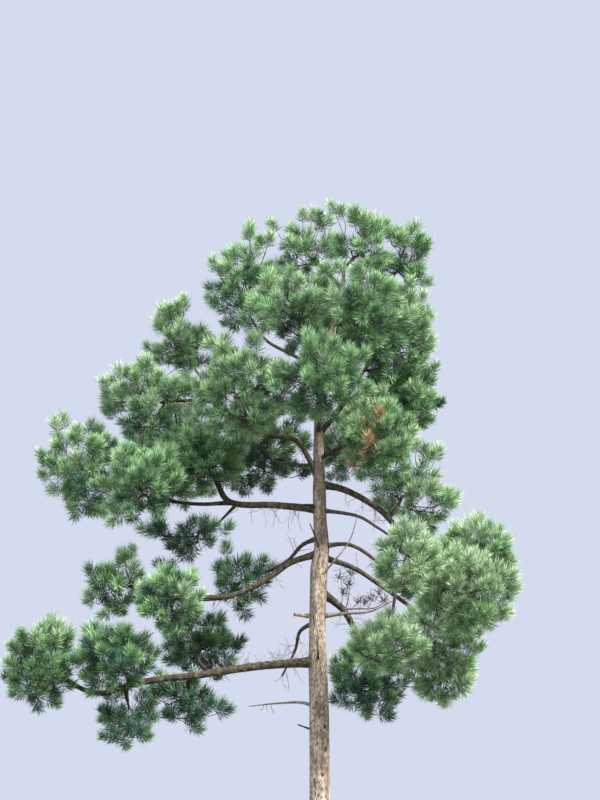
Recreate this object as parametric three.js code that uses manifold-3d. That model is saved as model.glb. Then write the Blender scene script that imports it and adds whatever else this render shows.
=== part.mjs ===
// A maritime pine, rooted in the ground: trunk, boughs, dead limbs and masses of needles.
// Millimetres, +Z up. The origin is in the middle of the flat cut under the trunk, at ground level.
// The tree is seen from the -Y side, with +X to the right.

import * as THREE from "three";
import { mergeVertices } from "three/addons/utils/BufferGeometryUtils.js";
import Module from "manifold-3d";

const wasm = await Module();
wasm.setup();

// Clearances
const JOINT_GAP = 0.3;
const LIMB_CLEARANCE = 40;
const SPACE_MARGIN = 22;
const LIMB_SPACING = 120;
const PROBE_SPACING = 50;

// Trunk: the middle and radius at each height, from the ground to the leader's end
const TRUNK_SIDES = 16;
const ROOT_LOBES = 5;
const ROOT_LOBE_DEPTH = 0.15;
const ROOT_LOBE_HEIGHT = 380;
const TRUNK = [
  { z: 0, x: 0, y: 0, r: 300 },
  { z: 180, x: 0, y: 0, r: 262 },
  { z: 450, x: -2, y: 4, r: 232 },
  { z: 1300, x: -12, y: 12, r: 208 },
  { z: 4000, x: -20, y: 25, r: 188 },
  { z: 7200, x: -6, y: 15, r: 170 },
  { z: 8450, x: -12, y: 5, r: 164 },
  { z: 9250, x: -31, y: 0, r: 157 },
  { z: 10000, x: -37, y: 0, r: 138 },
  { z: 10900, x: -8, y: 0, r: 150 },
  { z: 11300, x: 42, y: 0, r: 130 },
  { z: 11800, x: 12, y: 0, r: 114 },
  { z: 12300, x: 4, y: 0, r: 114 },
  { z: 12700, x: -2, y: 0, r: 100 },
  { z: 13100, x: -8, y: 0, r: 90 },
  { z: 13700, x: 0, y: 0, r: 80 },
  { z: 14400, x: 64, y: 5, r: 68 },
  { z: 15300, x: 255, y: 20, r: 52 },
  { z: 16100, x: 430, y: 20, r: 38 },
  { z: 16600, x: 470, y: 0, r: 30 },
];

// Boughs and dead limbs: "at" is the height on the trunk, or the share of the way along another bough.
// "way" is what the limb passes through after its root, and r0 and r1 are its radii there and at its end.
const LIMB_SIDES = 6;
const LIMB_STEP = 460;
const COLLAR_SWELL = 0.35;
const COLLAR_LENGTH = 110;
const LIMBS = [
  { name: "low_left_bough", from: "trunk", at: 9315, r0: 76, r1: 50,
    way: [[-1000, -120, 9215], [-2000, -300, 9025], [-2950, -450, 8865], [-3510, -500, 8680]] },
  { name: "mid_left_bough", from: "trunk", at: 11200, r0: 54, r1: 40,
    way: [[-480, -30, 11025], [-890, -60, 10725], [-1510, -130, 10410], [-2020, -180, 10340]] },
  { name: "mid_left_rear_bough", from: "trunk", at: 11480, r0: 38, r1: 26,
    way: [[-280, 180, 11400], [-520, 380, 11190], [-760, 470, 11060]] },
  { name: "long_left_bough", from: "trunk", at: 11980, r0: 66, r1: 46,
    way: [[-740, 0, 12050], [-1560, 0, 12125], [-1790, 20, 12530], [-1960, 30, 12800]] },
  { name: "long_left_outer_bough", from: "long_left_bough", at: 0.64, r0: 36, r1: 25,
    way: [[-2070, -20, 12065], [-2790, -60, 12145], [-3200, -100, 12250]] },
  { name: "long_left_lower_bough", from: "long_left_bough", at: 0.6, r0: 26, r1: 18,
    way: [[-1585, 0, 11890], [-1740, 10, 11720]] },
  { name: "upper_left_bough", from: "trunk", at: 12480, r0: 50, r1: 38,
    way: [[-185, -20, 12900], [-400, -10, 13225], [-1080, 0, 13345], [-1430, 0, 13540]] },
  { name: "left_peak_bough", from: "upper_left_bough", at: 1, r0: 36, r1: 22,
    way: [[-1750, 90, 14000], [-2100, 200, 14500], [-2330, 260, 14900]] },
  { name: "top_left_bough", from: "trunk", at: 14500, r0: 38, r1: 22,
    way: [[-420, 0, 14800], [-930, 0, 15105], [-1220, 0, 15560]] },
  { name: "upper_right_bough", from: "trunk", at: 13340, r0: 48, r1: 28,
    way: [[310, 0, 13730], [705, 0, 14385], [1050, 0, 14935], [1260, 0, 15300]] },
  { name: "top_right_bough", from: "trunk", at: 15750, r0: 30, r1: 18,
    way: [[745, 150, 15955], [1315, 300, 16490]] },
  { name: "right_arm_bough", from: "trunk", at: 12430, r0: 60, r1: 44,
    way: [[445, 50, 12340], [1050, 200, 12025], [1445, 300, 11640], [1900, 400, 11440]] },
  { name: "right_thin_bough", from: "trunk", at: 11960, r0: 34, r1: 24,
    way: [[400, -200, 11850], [685, -400, 11720], [1000, -780, 11400]] },
  { name: "right_arch_bough", from: "trunk", at: 11320, r0: 36, r1: 26,
    way: [[500, -200, 11290], [960, -480, 10925], [1480, -800, 10340]] },
  { name: "right_lower_bough", from: "trunk", at: 11130, r0: 47, r1: 34,
    way: [[570, 200, 11000], [1040, 400, 10745], [1540, 560, 10420]] },
  { name: "right_stout_bough", from: "trunk", at: 10540, r0: 70, r1: 50,
    way: [[400, 380, 10310], [640, 620, 9960]] },
  { name: "back_left_bough", from: "trunk", at: 12780, r0: 44, r1: 28,
    way: [[-300, 700, 13000], [-740, 1600, 13350]] },
  { name: "back_right_bough", from: "trunk", at: 13020, r0: 44, r1: 28,
    way: [[240, 740, 13220], [540, 1650, 13590]] },
  { name: "front_bough", from: "trunk", at: 13400, r0: 42, r1: 28,
    way: [[-10, -650, 13420], [-30, -1500, 13560]] },
  { name: "curled_dead_limb", from: "trunk", at: 10010, r0: 38, r1: 14, dead: true,
    way: [[-330, 290, 9900], [-410, 440, 9620], [-640, 520, 9180]] },
  { name: "pale_dead_limb", from: "trunk", at: 10085, r0: 38, r1: 8, dead: true,
    way: [[400, -60, 10125], [840, -140, 10140], [1220, -250, 10290]] },
  { name: "low_dead_limb", from: "trunk", at: 8500, r0: 28, r1: 7, dead: true,
    way: [[-250, 0, 8615], [-730, 0, 8608], [-1180, 0, 8560]] },
];

// Broken stubs and a thin dead shoot that are part of the trunk's own wood
const STUB_SIDES = 5;
const STUBS = [
  { at: 10080, r0: 35, r1: 28, way: [[-440, 0, 10130]] },
  { at: 8130, r0: 17, r1: 10, way: [[-370, 0, 8255]] },
  { at: 9300, r0: 22, r1: 12, way: [[-30, -260, 9400], [-45, -300, 9600]] },
  { at: 11180, r0: 26, r1: 8, way: [[-100, -290, 11480], [-165, -380, 11610]] },
  { at: 10740, r0: 17, r1: 7, way: [[170, -200, 10905], [505, -350, 11315], [635, -400, 11700]] },
];

// Masses of needles: where the stem starts, the middle and half sizes of the mass, the furthest tips
// of its shoots where they have a place of their own, and how many more whorls of shoots it has.
// Sky shows among and around those that are open.
const MASSES = [
  { name: "low_left_end_needles", from: "low_left_bough", at: 1,
    middle: [-4600, -600, 9170], half: [840, 910, 900], whorls: 4,
    tips: [[-5020, -600, 9710], [-4430, -500, 10180], [-5310, -400, 8920], [-4580, -700, 8160]] },
  { name: "low_left_upper_needles", from: "low_left_bough", at: 0.86,
    middle: [-3350, -1000, 9120], half: [890, 810, 660], whorls: 5,
    tips: [[-3890, -1300, 9670], [-2780, -1100, 9890], [-2500, -1500, 9330]] },
  { name: "low_left_hanging_needles", from: "low_left_bough", at: 0.9, open: true,
    middle: [-3160, -250, 8380], half: [620, 700, 730], whorls: 4,
    tips: [[-3140, -300, 7840], [-3540, -200, 8630]] },
  { name: "low_left_under_needles", from: "low_left_bough", at: 0.6, open: true,
    middle: [-2210, 350, 8810], half: [890, 840, 700], whorls: 4,
    tips: [[-2540, 300, 8460], [-1810, 400, 8610]] },
  { name: "low_left_back_needles", from: "low_left_bough", at: 0.5, open: true,
    middle: [-2090, 1600, 10030], half: [850, 840, 740], whorls: 3,
    tips: [[-1710, 1700, 10270]] },
  { name: "shelf_end_needles", from: "mid_left_bough", at: 1, open: true,
    middle: [-3450, -350, 10600], half: [720, 780, 780], whorls: 4,
    tips: [[-4050, -300, 10730], [-3510, -300, 11150], [-3720, -500, 10010], [-3110, -200, 11020]] },
  { name: "shelf_near_needles", from: "mid_left_bough", at: 0.78,
    middle: [-2440, -1350, 10130], half: [840, 780, 650], whorls: 4,
    tips: [[-2770, -1500, 10520], [-2110, -1500, 9920]] },
  { name: "mid_left_needles", from: "mid_left_rear_bough", at: 1, open: true,
    middle: [-1440, 600, 10940], half: [990, 940, 800], whorls: 4,
    tips: [[-2060, 500, 11340], [-1270, 600, 11420], [-1680, 700, 10560], [-680, 900, 10930]] },
  { name: "long_left_under_needles", from: "long_left_lower_bough", at: 1, open: true,
    middle: [-2350, 100, 11510], half: [980, 940, 790], whorls: 5,
    tips: [[-2730, 100, 11320], [-1950, 200, 11770]] },
  { name: "long_left_end_needles", from: "long_left_outer_bough", at: 1,
    middle: [-4080, -200, 12690], half: [950, 1090, 1130], whorls: 4,
    tips: [[-4640, -200, 13460], [-3690, -500, 13210], [-4820, -300, 12550], [-4360, -400, 11720]] },
  { name: "long_left_near_needles", from: "long_left_outer_bough", at: 0.55,
    middle: [-2970, -1450, 12010], half: [810, 860, 810], whorls: 4,
    tips: [[-3570, -1850, 11100], [-2600, -1850, 11230]] },
  { name: "long_left_back_needles", from: "long_left_bough", at: 0.86,
    middle: [-2680, 2100, 13410], half: [920, 980, 920], whorls: 3 },
  { name: "long_left_inner_needles", from: "long_left_bough", at: 1,
    middle: [-1910, -400, 12830], half: [790, 810, 760], whorls: 4 },
  { name: "upper_left_outer_needles", from: "left_peak_bough", at: 0.3,
    middle: [-3030, -200, 13870], half: [960, 1000, 960], whorls: 4,
    tips: [[-3340, -200, 14540], [-3970, -200, 13870]] },
  { name: "left_peak_needles", from: "left_peak_bough", at: 1,
    middle: [-2510, 300, 15260], half: [600, 840, 980], whorls: 4,
    tips: [[-2800, 300, 16110], [-2190, 300, 15610]] },
  { name: "upper_left_near_needles", from: "upper_left_bough", at: 0.8,
    middle: [-1340, -1500, 13710], half: [920, 990, 960], whorls: 5,
    tips: [[-1700, -1200, 14920]] },
  { name: "back_left_needles", from: "back_left_bough", at: 1,
    middle: [-1040, 2500, 13890], half: [980, 1010, 950], whorls: 4 },
  { name: "top_left_needles", from: "top_left_bough", at: 1,
    middle: [-1310, -100, 16060], half: [800, 1100, 1300], whorls: 4,
    tips: [[-1090, -100, 17110], [-1870, -100, 16570], [-2000, -100, 15830], [-1570, 0, 15100]] },
  { name: "top_near_needles", from: "trunk", at: 14700,
    middle: [-430, -1700, 15010], half: [890, 940, 890], whorls: 5 },
  { name: "top_middle_needles", from: "trunk", at: 16050,
    middle: [-260, 300, 16980], half: [840, 900, 880], whorls: 3,
    tips: [[-620, 200, 17590], [-130, 400, 17740], [-840, 300, 16980]] },
  { name: "top_needles", from: "trunk", at: 16450,
    middle: [820, -200, 16890], half: [830, 950, 980], whorls: 4,
    tips: [[1240, -100, 17750], [500, -200, 17640], [890, 800, 17950]] },
  { name: "top_right_needles", from: "top_right_bough", at: 1,
    middle: [1550, 300, 16780], half: [720, 950, 1080], whorls: 4,
    tips: [[1790, 400, 17740], [2030, 300, 17020]] },
  { name: "top_back_needles", from: "trunk", at: 15300,
    middle: [380, 1900, 16060], half: [950, 1030, 1030], whorls: 4 },
  { name: "right_high_needles", from: "upper_right_bough", at: 1,
    middle: [1340, -600, 15090], half: [800, 870, 850], whorls: 4,
    tips: [[1940, -600, 15580], [1970, -500, 14940]] },
  { name: "right_high_near_needles", from: "trunk", at: 14250,
    middle: [780, -1900, 14960], half: [850, 890, 850], whorls: 5 },
  { name: "front_needles", from: "front_bough", at: 1,
    middle: [-30, -2100, 13670], half: [900, 910, 840], whorls: 5 },
  { name: "right_shoulder_needles", from: "upper_right_bough", at: 0.62,
    middle: [1570, 200, 14200], half: [860, 860, 780], whorls: 4,
    tips: [[2140, 200, 14270]] },
  { name: "right_brown_needles", from: "trunk", at: 12860,
    middle: [1010, -900, 12960], half: [780, 800, 750], whorls: 4 },
  { name: "back_right_needles", from: "back_right_bough", at: 1,
    middle: [830, 2500, 14090], half: [950, 970, 900], whorls: 4 },
  { name: "right_arm_upper_needles", from: "right_arm_bough", at: 0.6,
    middle: [1620, 400, 12520], half: [1030, 990, 850], whorls: 4,
    tips: [[1880, 400, 13190]] },
  { name: "right_arm_end_needles", from: "right_arm_bough", at: 1,
    middle: [2690, 200, 11260], half: [870, 810, 680], whorls: 4,
    tips: [[2580, 300, 12090], [3370, 200, 11200]] },
  { name: "right_near_needles", from: "right_thin_bough", at: 1, open: true,
    middle: [1410, -1850, 10590], half: [670, 750, 750], whorls: 4 },
  { name: "right_low_needles", from: "right_arch_bough", at: 1,
    middle: [2450, -800, 10340], half: [1000, 980, 870], whorls: 5,
    tips: [[3400, -700, 10670], [3270, -700, 9990]] },
  { name: "right_skirt_needles", from: "right_arch_bough", at: 0.8,
    middle: [1060, -1200, 9370], half: [830, 770, 640], whorls: 4,
    tips: [[480, -1200, 9570]] },
  { name: "right_dark_needles", from: "right_stout_bough", at: 1,
    middle: [800, 1000, 9260], half: [870, 910, 870], whorls: 5,
    tips: [[320, 1000, 9220]] },
  { name: "right_skirt_end_needles", from: "right_lower_bough", at: 1,
    middle: [2090, 600, 9480], half: [860, 950, 940], whorls: 5 },
  { name: "right_back_needles", from: "right_lower_bough", at: 0.75,
    middle: [2120, 2400, 11460], half: [920, 950, 880], whorls: 3 },
];

// Twigs end in a whorl of shoots, one ahead and up to three aside, each with a spray of needles.
// A spray is three wings on the end of its shoot, each with a tooth, that meet in a front point.
const STEM_SIDES = 5;
const STEM_STEP = 300;
const STEM_LEAN = 0.4;
const STEM_WITHIN = 0.92;
const ROOT_POWER = 0.52;
const STEM_TAPER = 0.8;
const HEART_SHARE = 0.3;
const STEM_CARRYING = 0.65;
const STARTS_APART = 0.2;
const STEM_FIRST_START = 0.05;
const BENT_FIRST_START = 0.1;
const STRAIGHT_FIRST_START = 0.4;
const TWIG_SIDES = 3;
const TWIG_RADIUS = 11;
const PIPE_POWER = 0.42;
const LONG_TWIG = 480;
const TWIG_BEND = 0.12;
const TWIG_SAG = 0.8;
const PATH_WEIGHT = 0.35;
const TURN_WEIGHT = 0.4;
const MOST_JOINED = 3;
const WHORL_LENGTH = 45;
const SHOOT_LENGTH = 85;
const SIDE_ANGLE = 0.95;
const SPRAY_FRONT = 540;
const TOOTH_FORWARD = 285;
const TOOTH_OUT = 245;
const SPRAYS_PER_WHORL = 3;
const SPRAY_CLEARANCE = 260;
const REACH_LEAST = 1;
const REACH_MOST = 1.3;
const DRAWN_IN = [1, 0.9, 0.8, 0.7, 0.6, 0.5];
const CROWN_PULL = 2;
const OPEN_PULL = 2.15;
const UPWARD = 0.25;
const SHAKE = 0.25;
const TURN_SHAKE = 0.5;
const LEVEL_SHAKE = 0.2;
const FIRST_SEED = 1000;
const STOUTNESS_TRIES = [1, 1.12, 0.9, 1.25];
const SMALLEST_EDGE = 0.3;
const MERGE_DISTANCE = 0.001;

const BARK = { color: 0x6f5a49, roughness: 0.9 };
const DEAD_WOOD = { color: 0x9a9088, roughness: 0.9 };
const NEEDLES = { color: 0x6f8b32, roughness: 0.75 };
const UP = new THREE.Vector3(0, 0, 1);

// A repeatable source of numbers between 0 and 1
function seededRandom(seed) {
  let state = seed >>> 0;
  return () => {
    state = (state + 0x6d2b79f5) >>> 0;
    let t = state;
    t = Math.imul(t ^ (t >>> 15), t | 1);
    t ^= t + Math.imul(t ^ (t >>> 7), t | 61);
    return ((t ^ (t >>> 14)) >>> 0) / 4294967296;
  };
}

const vector = ([x, y, z]) => new THREE.Vector3(x, y, z);
const shaken = (random, sag = 0.5) => new THREE.Vector3(random() - 0.5, random() - 0.5, random() - sag);
const mix = (a, b, share) => a + (b - a) * share;
const along = (a, b, share) => a.clone().lerp(b, share);

// A closed solid from a list of corner points and triangles
function solidFrom(points, triangles) {
  const vertProperties = new Float32Array(points.flatMap((p) => [p.x, p.y, p.z]));
  const triVerts = new Uint32Array(triangles.flat());
  return new wasm.Manifold(new wasm.Mesh({ numProp: 3, vertProperties, triVerts }));
}

// The triangles of a tube through rings of equal count, both ends closed by fans
function tubeTriangles(ringCount, sides) {
  const triangles = [];
  for (let i = 0; i < ringCount - 1; i++) {
    for (let j = 0; j < sides; j++) {
      const k = (j + 1) % sides;
      const [a, b, c, d] = [i * sides + j, i * sides + k, (i + 1) * sides + k, (i + 1) * sides + j];
      triangles.push([a, b, c], [a, c, d]);
    }
  }
  const last = (ringCount - 1) * sides;
  for (let j = 1; j < sides - 1; j++) {
    triangles.push([0, j + 1, j], [last, last + j, last + j + 1]);
  }
  return triangles;
}

// A regular ring round a point, square to an axis that has two cross directions
function ringAt(middle, across, beside, radius, sides) {
  return Array.from({ length: sides }, (_, j) => {
    const angle = (2 * Math.PI * j) / sides;
    return middle
      .clone()
      .addScaledVector(across, radius * Math.cos(angle))
      .addScaledVector(beside, radius * Math.sin(angle));
  });
}

// The trunk's middle and radius at any height
function trunkAt(z) {
  const above = Math.max(1, TRUNK.findIndex((s) => s.z >= z));
  const [low, high] = [TRUNK[above - 1], TRUNK[above]];
  const share = (z - low.z) / (high.z - low.z);
  return {
    middle: new THREE.Vector3(mix(low.x, high.x, share), mix(low.y, high.y, share), z),
    radius: mix(low.r, high.r, share),
  };
}

// The trunk's solid with its root flare, or the same grown all round and at its end
function trunkLoft(grow) {
  const rings = TRUNK.map(({ z, x, y, r }) =>
    Array.from({ length: TRUNK_SIDES }, (_, j) => {
      const angle = (2 * Math.PI * j) / TRUNK_SIDES;
      const lobe = ROOT_LOBE_DEPTH * Math.exp(-z / ROOT_LOBE_HEIGHT) * Math.cos(ROOT_LOBES * angle);
      const radius = r * (1 + lobe) + grow;
      const level = z === TRUNK.at(-1).z ? z + grow : z;
      return new THREE.Vector3(x + radius * Math.cos(angle), y + radius * Math.sin(angle), level);
    }),
  );
  return solidFrom(rings.flat(), tubeTriangles(rings.length, TRUNK_SIDES));
}

// A limb or stem starts on the middle line of what carries it, sunk back a little at a tip
const limbByName = new Map(LIMBS.map((limb) => [limb.name, limb]));
const curves = new Map();

function rootOf(piece) {
  if (piece.from === "trunk") return trunkAt(piece.at).middle;
  const root = curveOf(limbByName.get(piece.from)).getPointAt(piece.at);
  return startsAtTip(piece) ? root.addScaledVector(carrierTangent(piece), -carrierRadius(piece)) : root;
}

function carrierRadius({ from, at }) {
  if (from === "trunk") return trunkAt(at).radius;
  const carrier = limbByName.get(from);
  return limbRadius(carrier, at * curveOf(carrier).getLength());
}

function carrierTangent({ from, at }) {
  if (from === "trunk") return UP.clone();
  return curveOf(limbByName.get(from)).getTangentAt(at);
}

const startsAtTip = ({ from, at }) => from !== "trunk" && at === 1;

function curveOf(limb) {
  if (!curves.has(limb)) {
    const points = [rootOf(limb), ...limb.way.map(vector)];
    curves.set(limb, new THREE.CatmullRomCurve3(points, false, "centripetal"));
  }
  return curves.get(limb);
}

// The radius tapers to the end, with a collar where the limb leaves its carrier
function limbRadius(limb, distance) {
  const length = curveOf(limb).getLength();
  const taper = mix(limb.r0, limb.r1, distance / length);
  if (startsAtTip(limb)) return taper;
  const past = Math.max(0, distance - carrierRadius(limb));
  return taper + COLLAR_SWELL * limb.r0 * Math.exp(-past / COLLAR_LENGTH);
}

// Stations along a limb: the root, the collar's two ends, then even steps to the tip
function limbStations(limb) {
  const length = curveOf(limb).getLength();
  const start = startsAtTip(limb) ? 0 : carrierRadius(limb) + COLLAR_LENGTH;
  const steps = Math.max(1, Math.round((length - start) / LIMB_STEP));
  const stations = startsAtTip(limb) ? [] : [0, carrierRadius(limb) + COLLAR_LENGTH / 3];
  for (let i = 0; i <= steps; i++) stations.push(mix(start, length, i / steps));
  return stations;
}

// Cross directions carried along a curve without twist, at shares of its length
function framesAlong(curve, shares) {
  const tangents = shares.map((u) => curve.getTangentAt(Math.min(1, u)).normalize());
  const side = Math.abs(tangents[0].z) > 0.9 ? new THREE.Vector3(1, 0, 0) : UP.clone();
  const frames = [];
  for (const tangent of tangents) {
    const across = side.clone().addScaledVector(tangent, -side.dot(tangent)).normalize();
    frames.push({ across, beside: tangent.clone().cross(across), tangent });
    side.copy(across);
  }
  return frames;
}

// A limb's solid, or the same grown all round and at its end
function limbLoft(limb, grow, sides = LIMB_SIDES) {
  const curve = curveOf(limb);
  const length = curve.getLength();
  const stations = limbStations(limb);
  const shares = stations.map((distance) => Math.min(1, distance / length));
  const frames = framesAlong(curve, shares);
  const rings = shares.map((share, i) => {
    const { across, beside, tangent } = frames[i];
    const middle = curve.getPointAt(share).addScaledVector(tangent, share === 1 ? grow : 0);
    return ringAt(middle, across, beside, limbRadius(limb, stations[i]) + grow, sides);
  });
  return solidFrom(rings.flat(), tubeTriangles(rings.length, sides));
}

const growFor = (sides) => JOINT_GAP / Math.cos(Math.PI / sides);

function trunkWithStubs(grow = 0) {
  const stubs = STUBS.map((stub) => limbLoft({ from: "trunk", ...stub }, grow, STUB_SIDES));
  return wasm.Manifold.union([trunkLoft(grow ? growFor(TRUNK_SIDES) : 0), ...stubs]);
}

// The carrier's solid, grown by the joint gap, cuts the seat of what starts on it
const seats = new Map();

function seatOf({ from }) {
  if (!seats.has(from)) {
    const grown = from === "trunk"
      ? trunkWithStubs(growFor(STUB_SIDES))
      : limbLoft(limbByName.get(from), growFor(LIMB_SIDES));
    seats.set(from, grown);
  }
  return seats.get(from);
}

function geometryOf(solid) {
  const { vertProperties, triVerts } = solid.getMesh();
  const geometry = new THREE.BufferGeometry();
  geometry.setAttribute("position", new THREE.BufferAttribute(vertProperties, 3));
  geometry.setIndex(new THREE.BufferAttribute(triVerts, 1));
  return geometry;
}

// The solid's largest body, without slivers, loose scraps and hollows that fusing sealed
function cleaned(solid) {
  const small = solid.simplify(SMALLEST_EDGE);
  const { attributes, index } = mergeVertices(geometryOf(small).toNonIndexed(), MERGE_DISTANCE);
  const mesh = { numProp: 3, vertProperties: attributes.position.array, triVerts: index.array };
  const bodies = new wasm.Manifold(new wasm.Mesh(mesh)).decompose();
  return bodies.reduce((best, other) => (other.volume() > best.volume() ? other : best));
}

// True where each edge joins just two faces, so that no two stretches of the surface meet in a line
function isSound(solid) {
  const { index } = mergeVertices(geometryOf(solid).toNonIndexed(), MERGE_DISTANCE);
  const edges = new Set();
  for (let i = 0; i < index.count; i++) {
    const next = i % 3 === 2 ? i - 2 : i + 1;
    const [a, b] = [index.getX(i), index.getX(next)];
    if (a === b || edges.has(`${a} ${b}`)) return false;
    edges.add(`${a} ${b}`);
  }
  return true;
}

// The piece with the seat of its carrier cut where it starts
const seated = (solid, piece) => cleaned(solid.subtract(seatOf(piece)));

// What twigs keep clear of: points along the trunk, the limbs and the stems, with their radii
const obstacles = [];

function addObstacle(owner, curve, radiusAt) {
  const length = curve.getLength();
  const count = Math.max(2, Math.ceil(length / LIMB_SPACING));
  const points = Array.from({ length: count + 1 }, (_, i) => curve.getPointAt(i / count));
  const radii = points.map((_, i) => radiusAt((length * i) / count));
  const box = new THREE.Box3().setFromPoints(points).expandByScalar(Math.max(...radii));
  obstacles.push({ owner, points, radii, box });
}

function distanceToSegment(point, a, b) {
  const step = b.clone().sub(a);
  const share = THREE.MathUtils.clamp(point.clone().sub(a).dot(step) / step.lengthSq(), 0, 1);
  return { distance: point.distanceTo(a.clone().addScaledVector(step, share)), share };
}

function touchesLimb(owner, a, b) {
  const reach = new THREE.Box3().setFromPoints([a, b]).expandByScalar(LIMB_CLEARANCE);
  const count = Math.max(2, Math.ceil(a.distanceTo(b) / PROBE_SPACING));
  return obstacles.some(({ owner: other, points, radii, box }) => {
    if (other === owner || !box.intersectsBox(reach)) return false;
    for (let i = 0; i <= count; i++) {
      const point = along(a, b, i / count);
      for (let j = 0; j < points.length - 1; j++) {
        const near = distanceToSegment(point, points[j], points[j + 1]);
        if (near.distance < mix(radii[j], radii[j + 1], near.share) + LIMB_CLEARANCE) return true;
      }
    }
    return false;
  });
}

// A mass's space: the part of the crown that is nearer to its middle than to any other's
const meanHalf = ({ half }) => (half[0] + half[1] + half[2]) / 3;

function insideSpace(mass, point) {
  const own = point.distanceToSquared(vector(mass.middle)) - meanHalf(mass) ** 2;
  return MASSES.every((other) => {
    if (other === mass) return true;
    const apart = vector(other.middle).distanceTo(vector(mass.middle));
    const theirs = point.distanceToSquared(vector(other.middle)) - meanHalf(other) ** 2;
    return theirs - own > 2 * SPACE_MARGIN * apart;
  });
}

// The crown's own shape: the masses' ellipsoids, filled out where they lie close together.
// A mass that is open keeps to its own ellipsoid, a little grown.
function insideCrown(mass, point) {
  const [pulling, reach] = mass.open ? [[mass], OPEN_PULL] : [MASSES.filter(({ open }) => !open), CROWN_PULL];
  const pull = pulling.reduce((sum, { middle, half }) => {
    const away = point.clone().sub(vector(middle)).divide(vector(half)).length();
    return sum + Math.max(0, reach - away) ** 2;
  }, 0);
  return pull > 1;
}

// A mass's stem runs from its carrier to the heart of the mass
function heartOf(mass) {
  const middle = vector(mass.middle);
  const back = rootOf(mass).sub(middle).normalize();
  return middle.add(back.multiply(vector(mass.half)).multiplyScalar(HEART_SHARE));
}

function stemCurve(mass) {
  const root = rootOf(mass);
  const heart = heartOf(mass);
  const leave = carrierTangent(mass);
  const straight = heart.clone().sub(root);
  const length = straight.length();
  const lean = startsAtTip(mass)
    ? leave
    : straight.normalize().add(leave.multiplyScalar(STEM_LEAN)).normalize();
  return new THREE.QuadraticBezierCurve3(root, root.clone().addScaledVector(lean, length * STEM_LEAN), heart);
}

const tipsOf = ({ tips = [] }) => tips;

function stemRadius(mass, share) {
  const sprays = SPRAYS_PER_WHORL * (mass.whorls + tipsOf(mass).length);
  const start = Math.min(carrierRadius(mass) * STEM_WITHIN, TWIG_RADIUS * sprays ** ROOT_POWER);
  return mix(start, TWIG_RADIUS * sprays ** PIPE_POWER * STEM_TAPER, share);
}

function stemShares(curve) {
  const steps = Math.max(2, Math.round(curve.getLength() / STEM_STEP));
  return Array.from({ length: steps + 1 }, (_, i) => i / steps);
}

function stemLoft(mass, curve) {
  const shares = stemShares(curve);
  const frames = framesAlong(curve, shares);
  const rings = shares.map((share, i) => {
    const { across, beside } = frames[i];
    return ringAt(curve.getPointAt(share), across, beside, stemRadius(mass, share), STEM_SIDES);
  });
  return solidFrom(rings.flat(), tubeTriangles(rings.length, STEM_SIDES));
}

// Even directions round a sphere, each shaken a little
function directionOf(index, count, random) {
  const z = 1 - (2 * index + 1) / count;
  const angle = index * Math.PI * (3 - Math.sqrt(5)) + random() * TURN_SHAKE;
  const flat = Math.sqrt(1 - z * z);
  const level = z + (random() - 0.5) * LEVEL_SHAKE;
  return new THREE.Vector3(flat * Math.cos(angle), flat * Math.sin(angle), level).normalize();
}

// A spray from its foot, with the direction that one of its corners faces
function sprayAt(foot, forward, facing) {
  const across = facing.clone().addScaledVector(forward, -facing.dot(forward)).normalize();
  const beside = forward.clone().cross(across);
  const out = (turn) => {
    const angle = (2 * Math.PI * turn) / TWIG_SIDES;
    return across.clone().multiplyScalar(Math.cos(angle)).addScaledVector(beside, Math.sin(angle));
  };
  const rounds = [...Array(TWIG_SIDES).keys()];
  const middle = foot.clone().addScaledVector(forward, TOOTH_FORWARD);
  return {
    foot,
    forward,
    corners: rounds.map(out),
    teeth: rounds.map((j) => middle.clone().addScaledVector(out(j + 0.5), TOOTH_OUT)),
    front: foot.clone().addScaledVector(forward, SPRAY_FRONT),
  };
}

function distanceBetween(one, other) {
  const points = [0, 0.25, 0.5, 0.75, 1].map((share) => along(one.foot, one.front, share));
  return Math.min(...points.map((point) => distanceToSegment(point, other.foot, other.front).distance));
}

function sprayFits(mass, line, spray, others) {
  const ends = [...spray.teeth, spray.front];
  return (
    [...ends, spray.foot].every((end) => insideSpace(mass, end)) &&
    (line.toTip || ends.every((end) => insideCrown(mass, end))) &&
    !ends.some((end) => touchesLimb(mass.name, spray.foot, end)) &&
    others.every((other) => distanceBetween(spray, other) > SPRAY_CLEARANCE)
  );
}

// A whorl's line: its reach from the middle of the mass, where it points, leaning up, and its turn
function whorlLine(reach, random) {
  const forward = reach.clone().normalize().addScaledVector(UP, UPWARD);
  forward.addScaledVector(shaken(random), SHAKE).normalize();
  return { reach, forward, facing: shaken(random) };
}

// The lines to the mass's furthest tips, then the others, the nearest to its heart first. The others
// start beyond the mass's edge, so that their whorls are drawn in to the edge of the crown.
function whorlLines(mass, random) {
  const middle = vector(mass.middle);
  const heart = heartOf(mass);
  const toTips = tipsOf(mass).map((tip) => {
    return { ...whorlLine(vector(tip).sub(middle), random), toTip: true };
  });
  const others = Array.from({ length: mass.whorls }, (_, i) => {
    const reach = directionOf(i, mass.whorls, random).multiply(vector(mass.half));
    return whorlLine(reach.multiplyScalar(mix(REACH_LEAST, REACH_MOST, random())), random);
  });
  const nearness = (line) => whorlAt(mass, line, 1).base.distanceTo(heart);
  return [...toTips, ...others.sort((a, b) => nearness(a) - nearness(b))];
}

// The whorl on its line whose front lies at a share of the way to the edge of the mass
function whorlAt(mass, { reach, forward, facing }, share) {
  const front = vector(mass.middle).addScaledVector(reach, share);
  const foot = front.addScaledVector(forward, -SPRAY_FRONT);
  const top = foot.clone().addScaledVector(forward, -SHOOT_LENGTH);
  const base = top.clone().addScaledVector(forward, -WHORL_LENGTH);
  return { ahead: sprayAt(foot, forward, facing), top, base };
}

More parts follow.
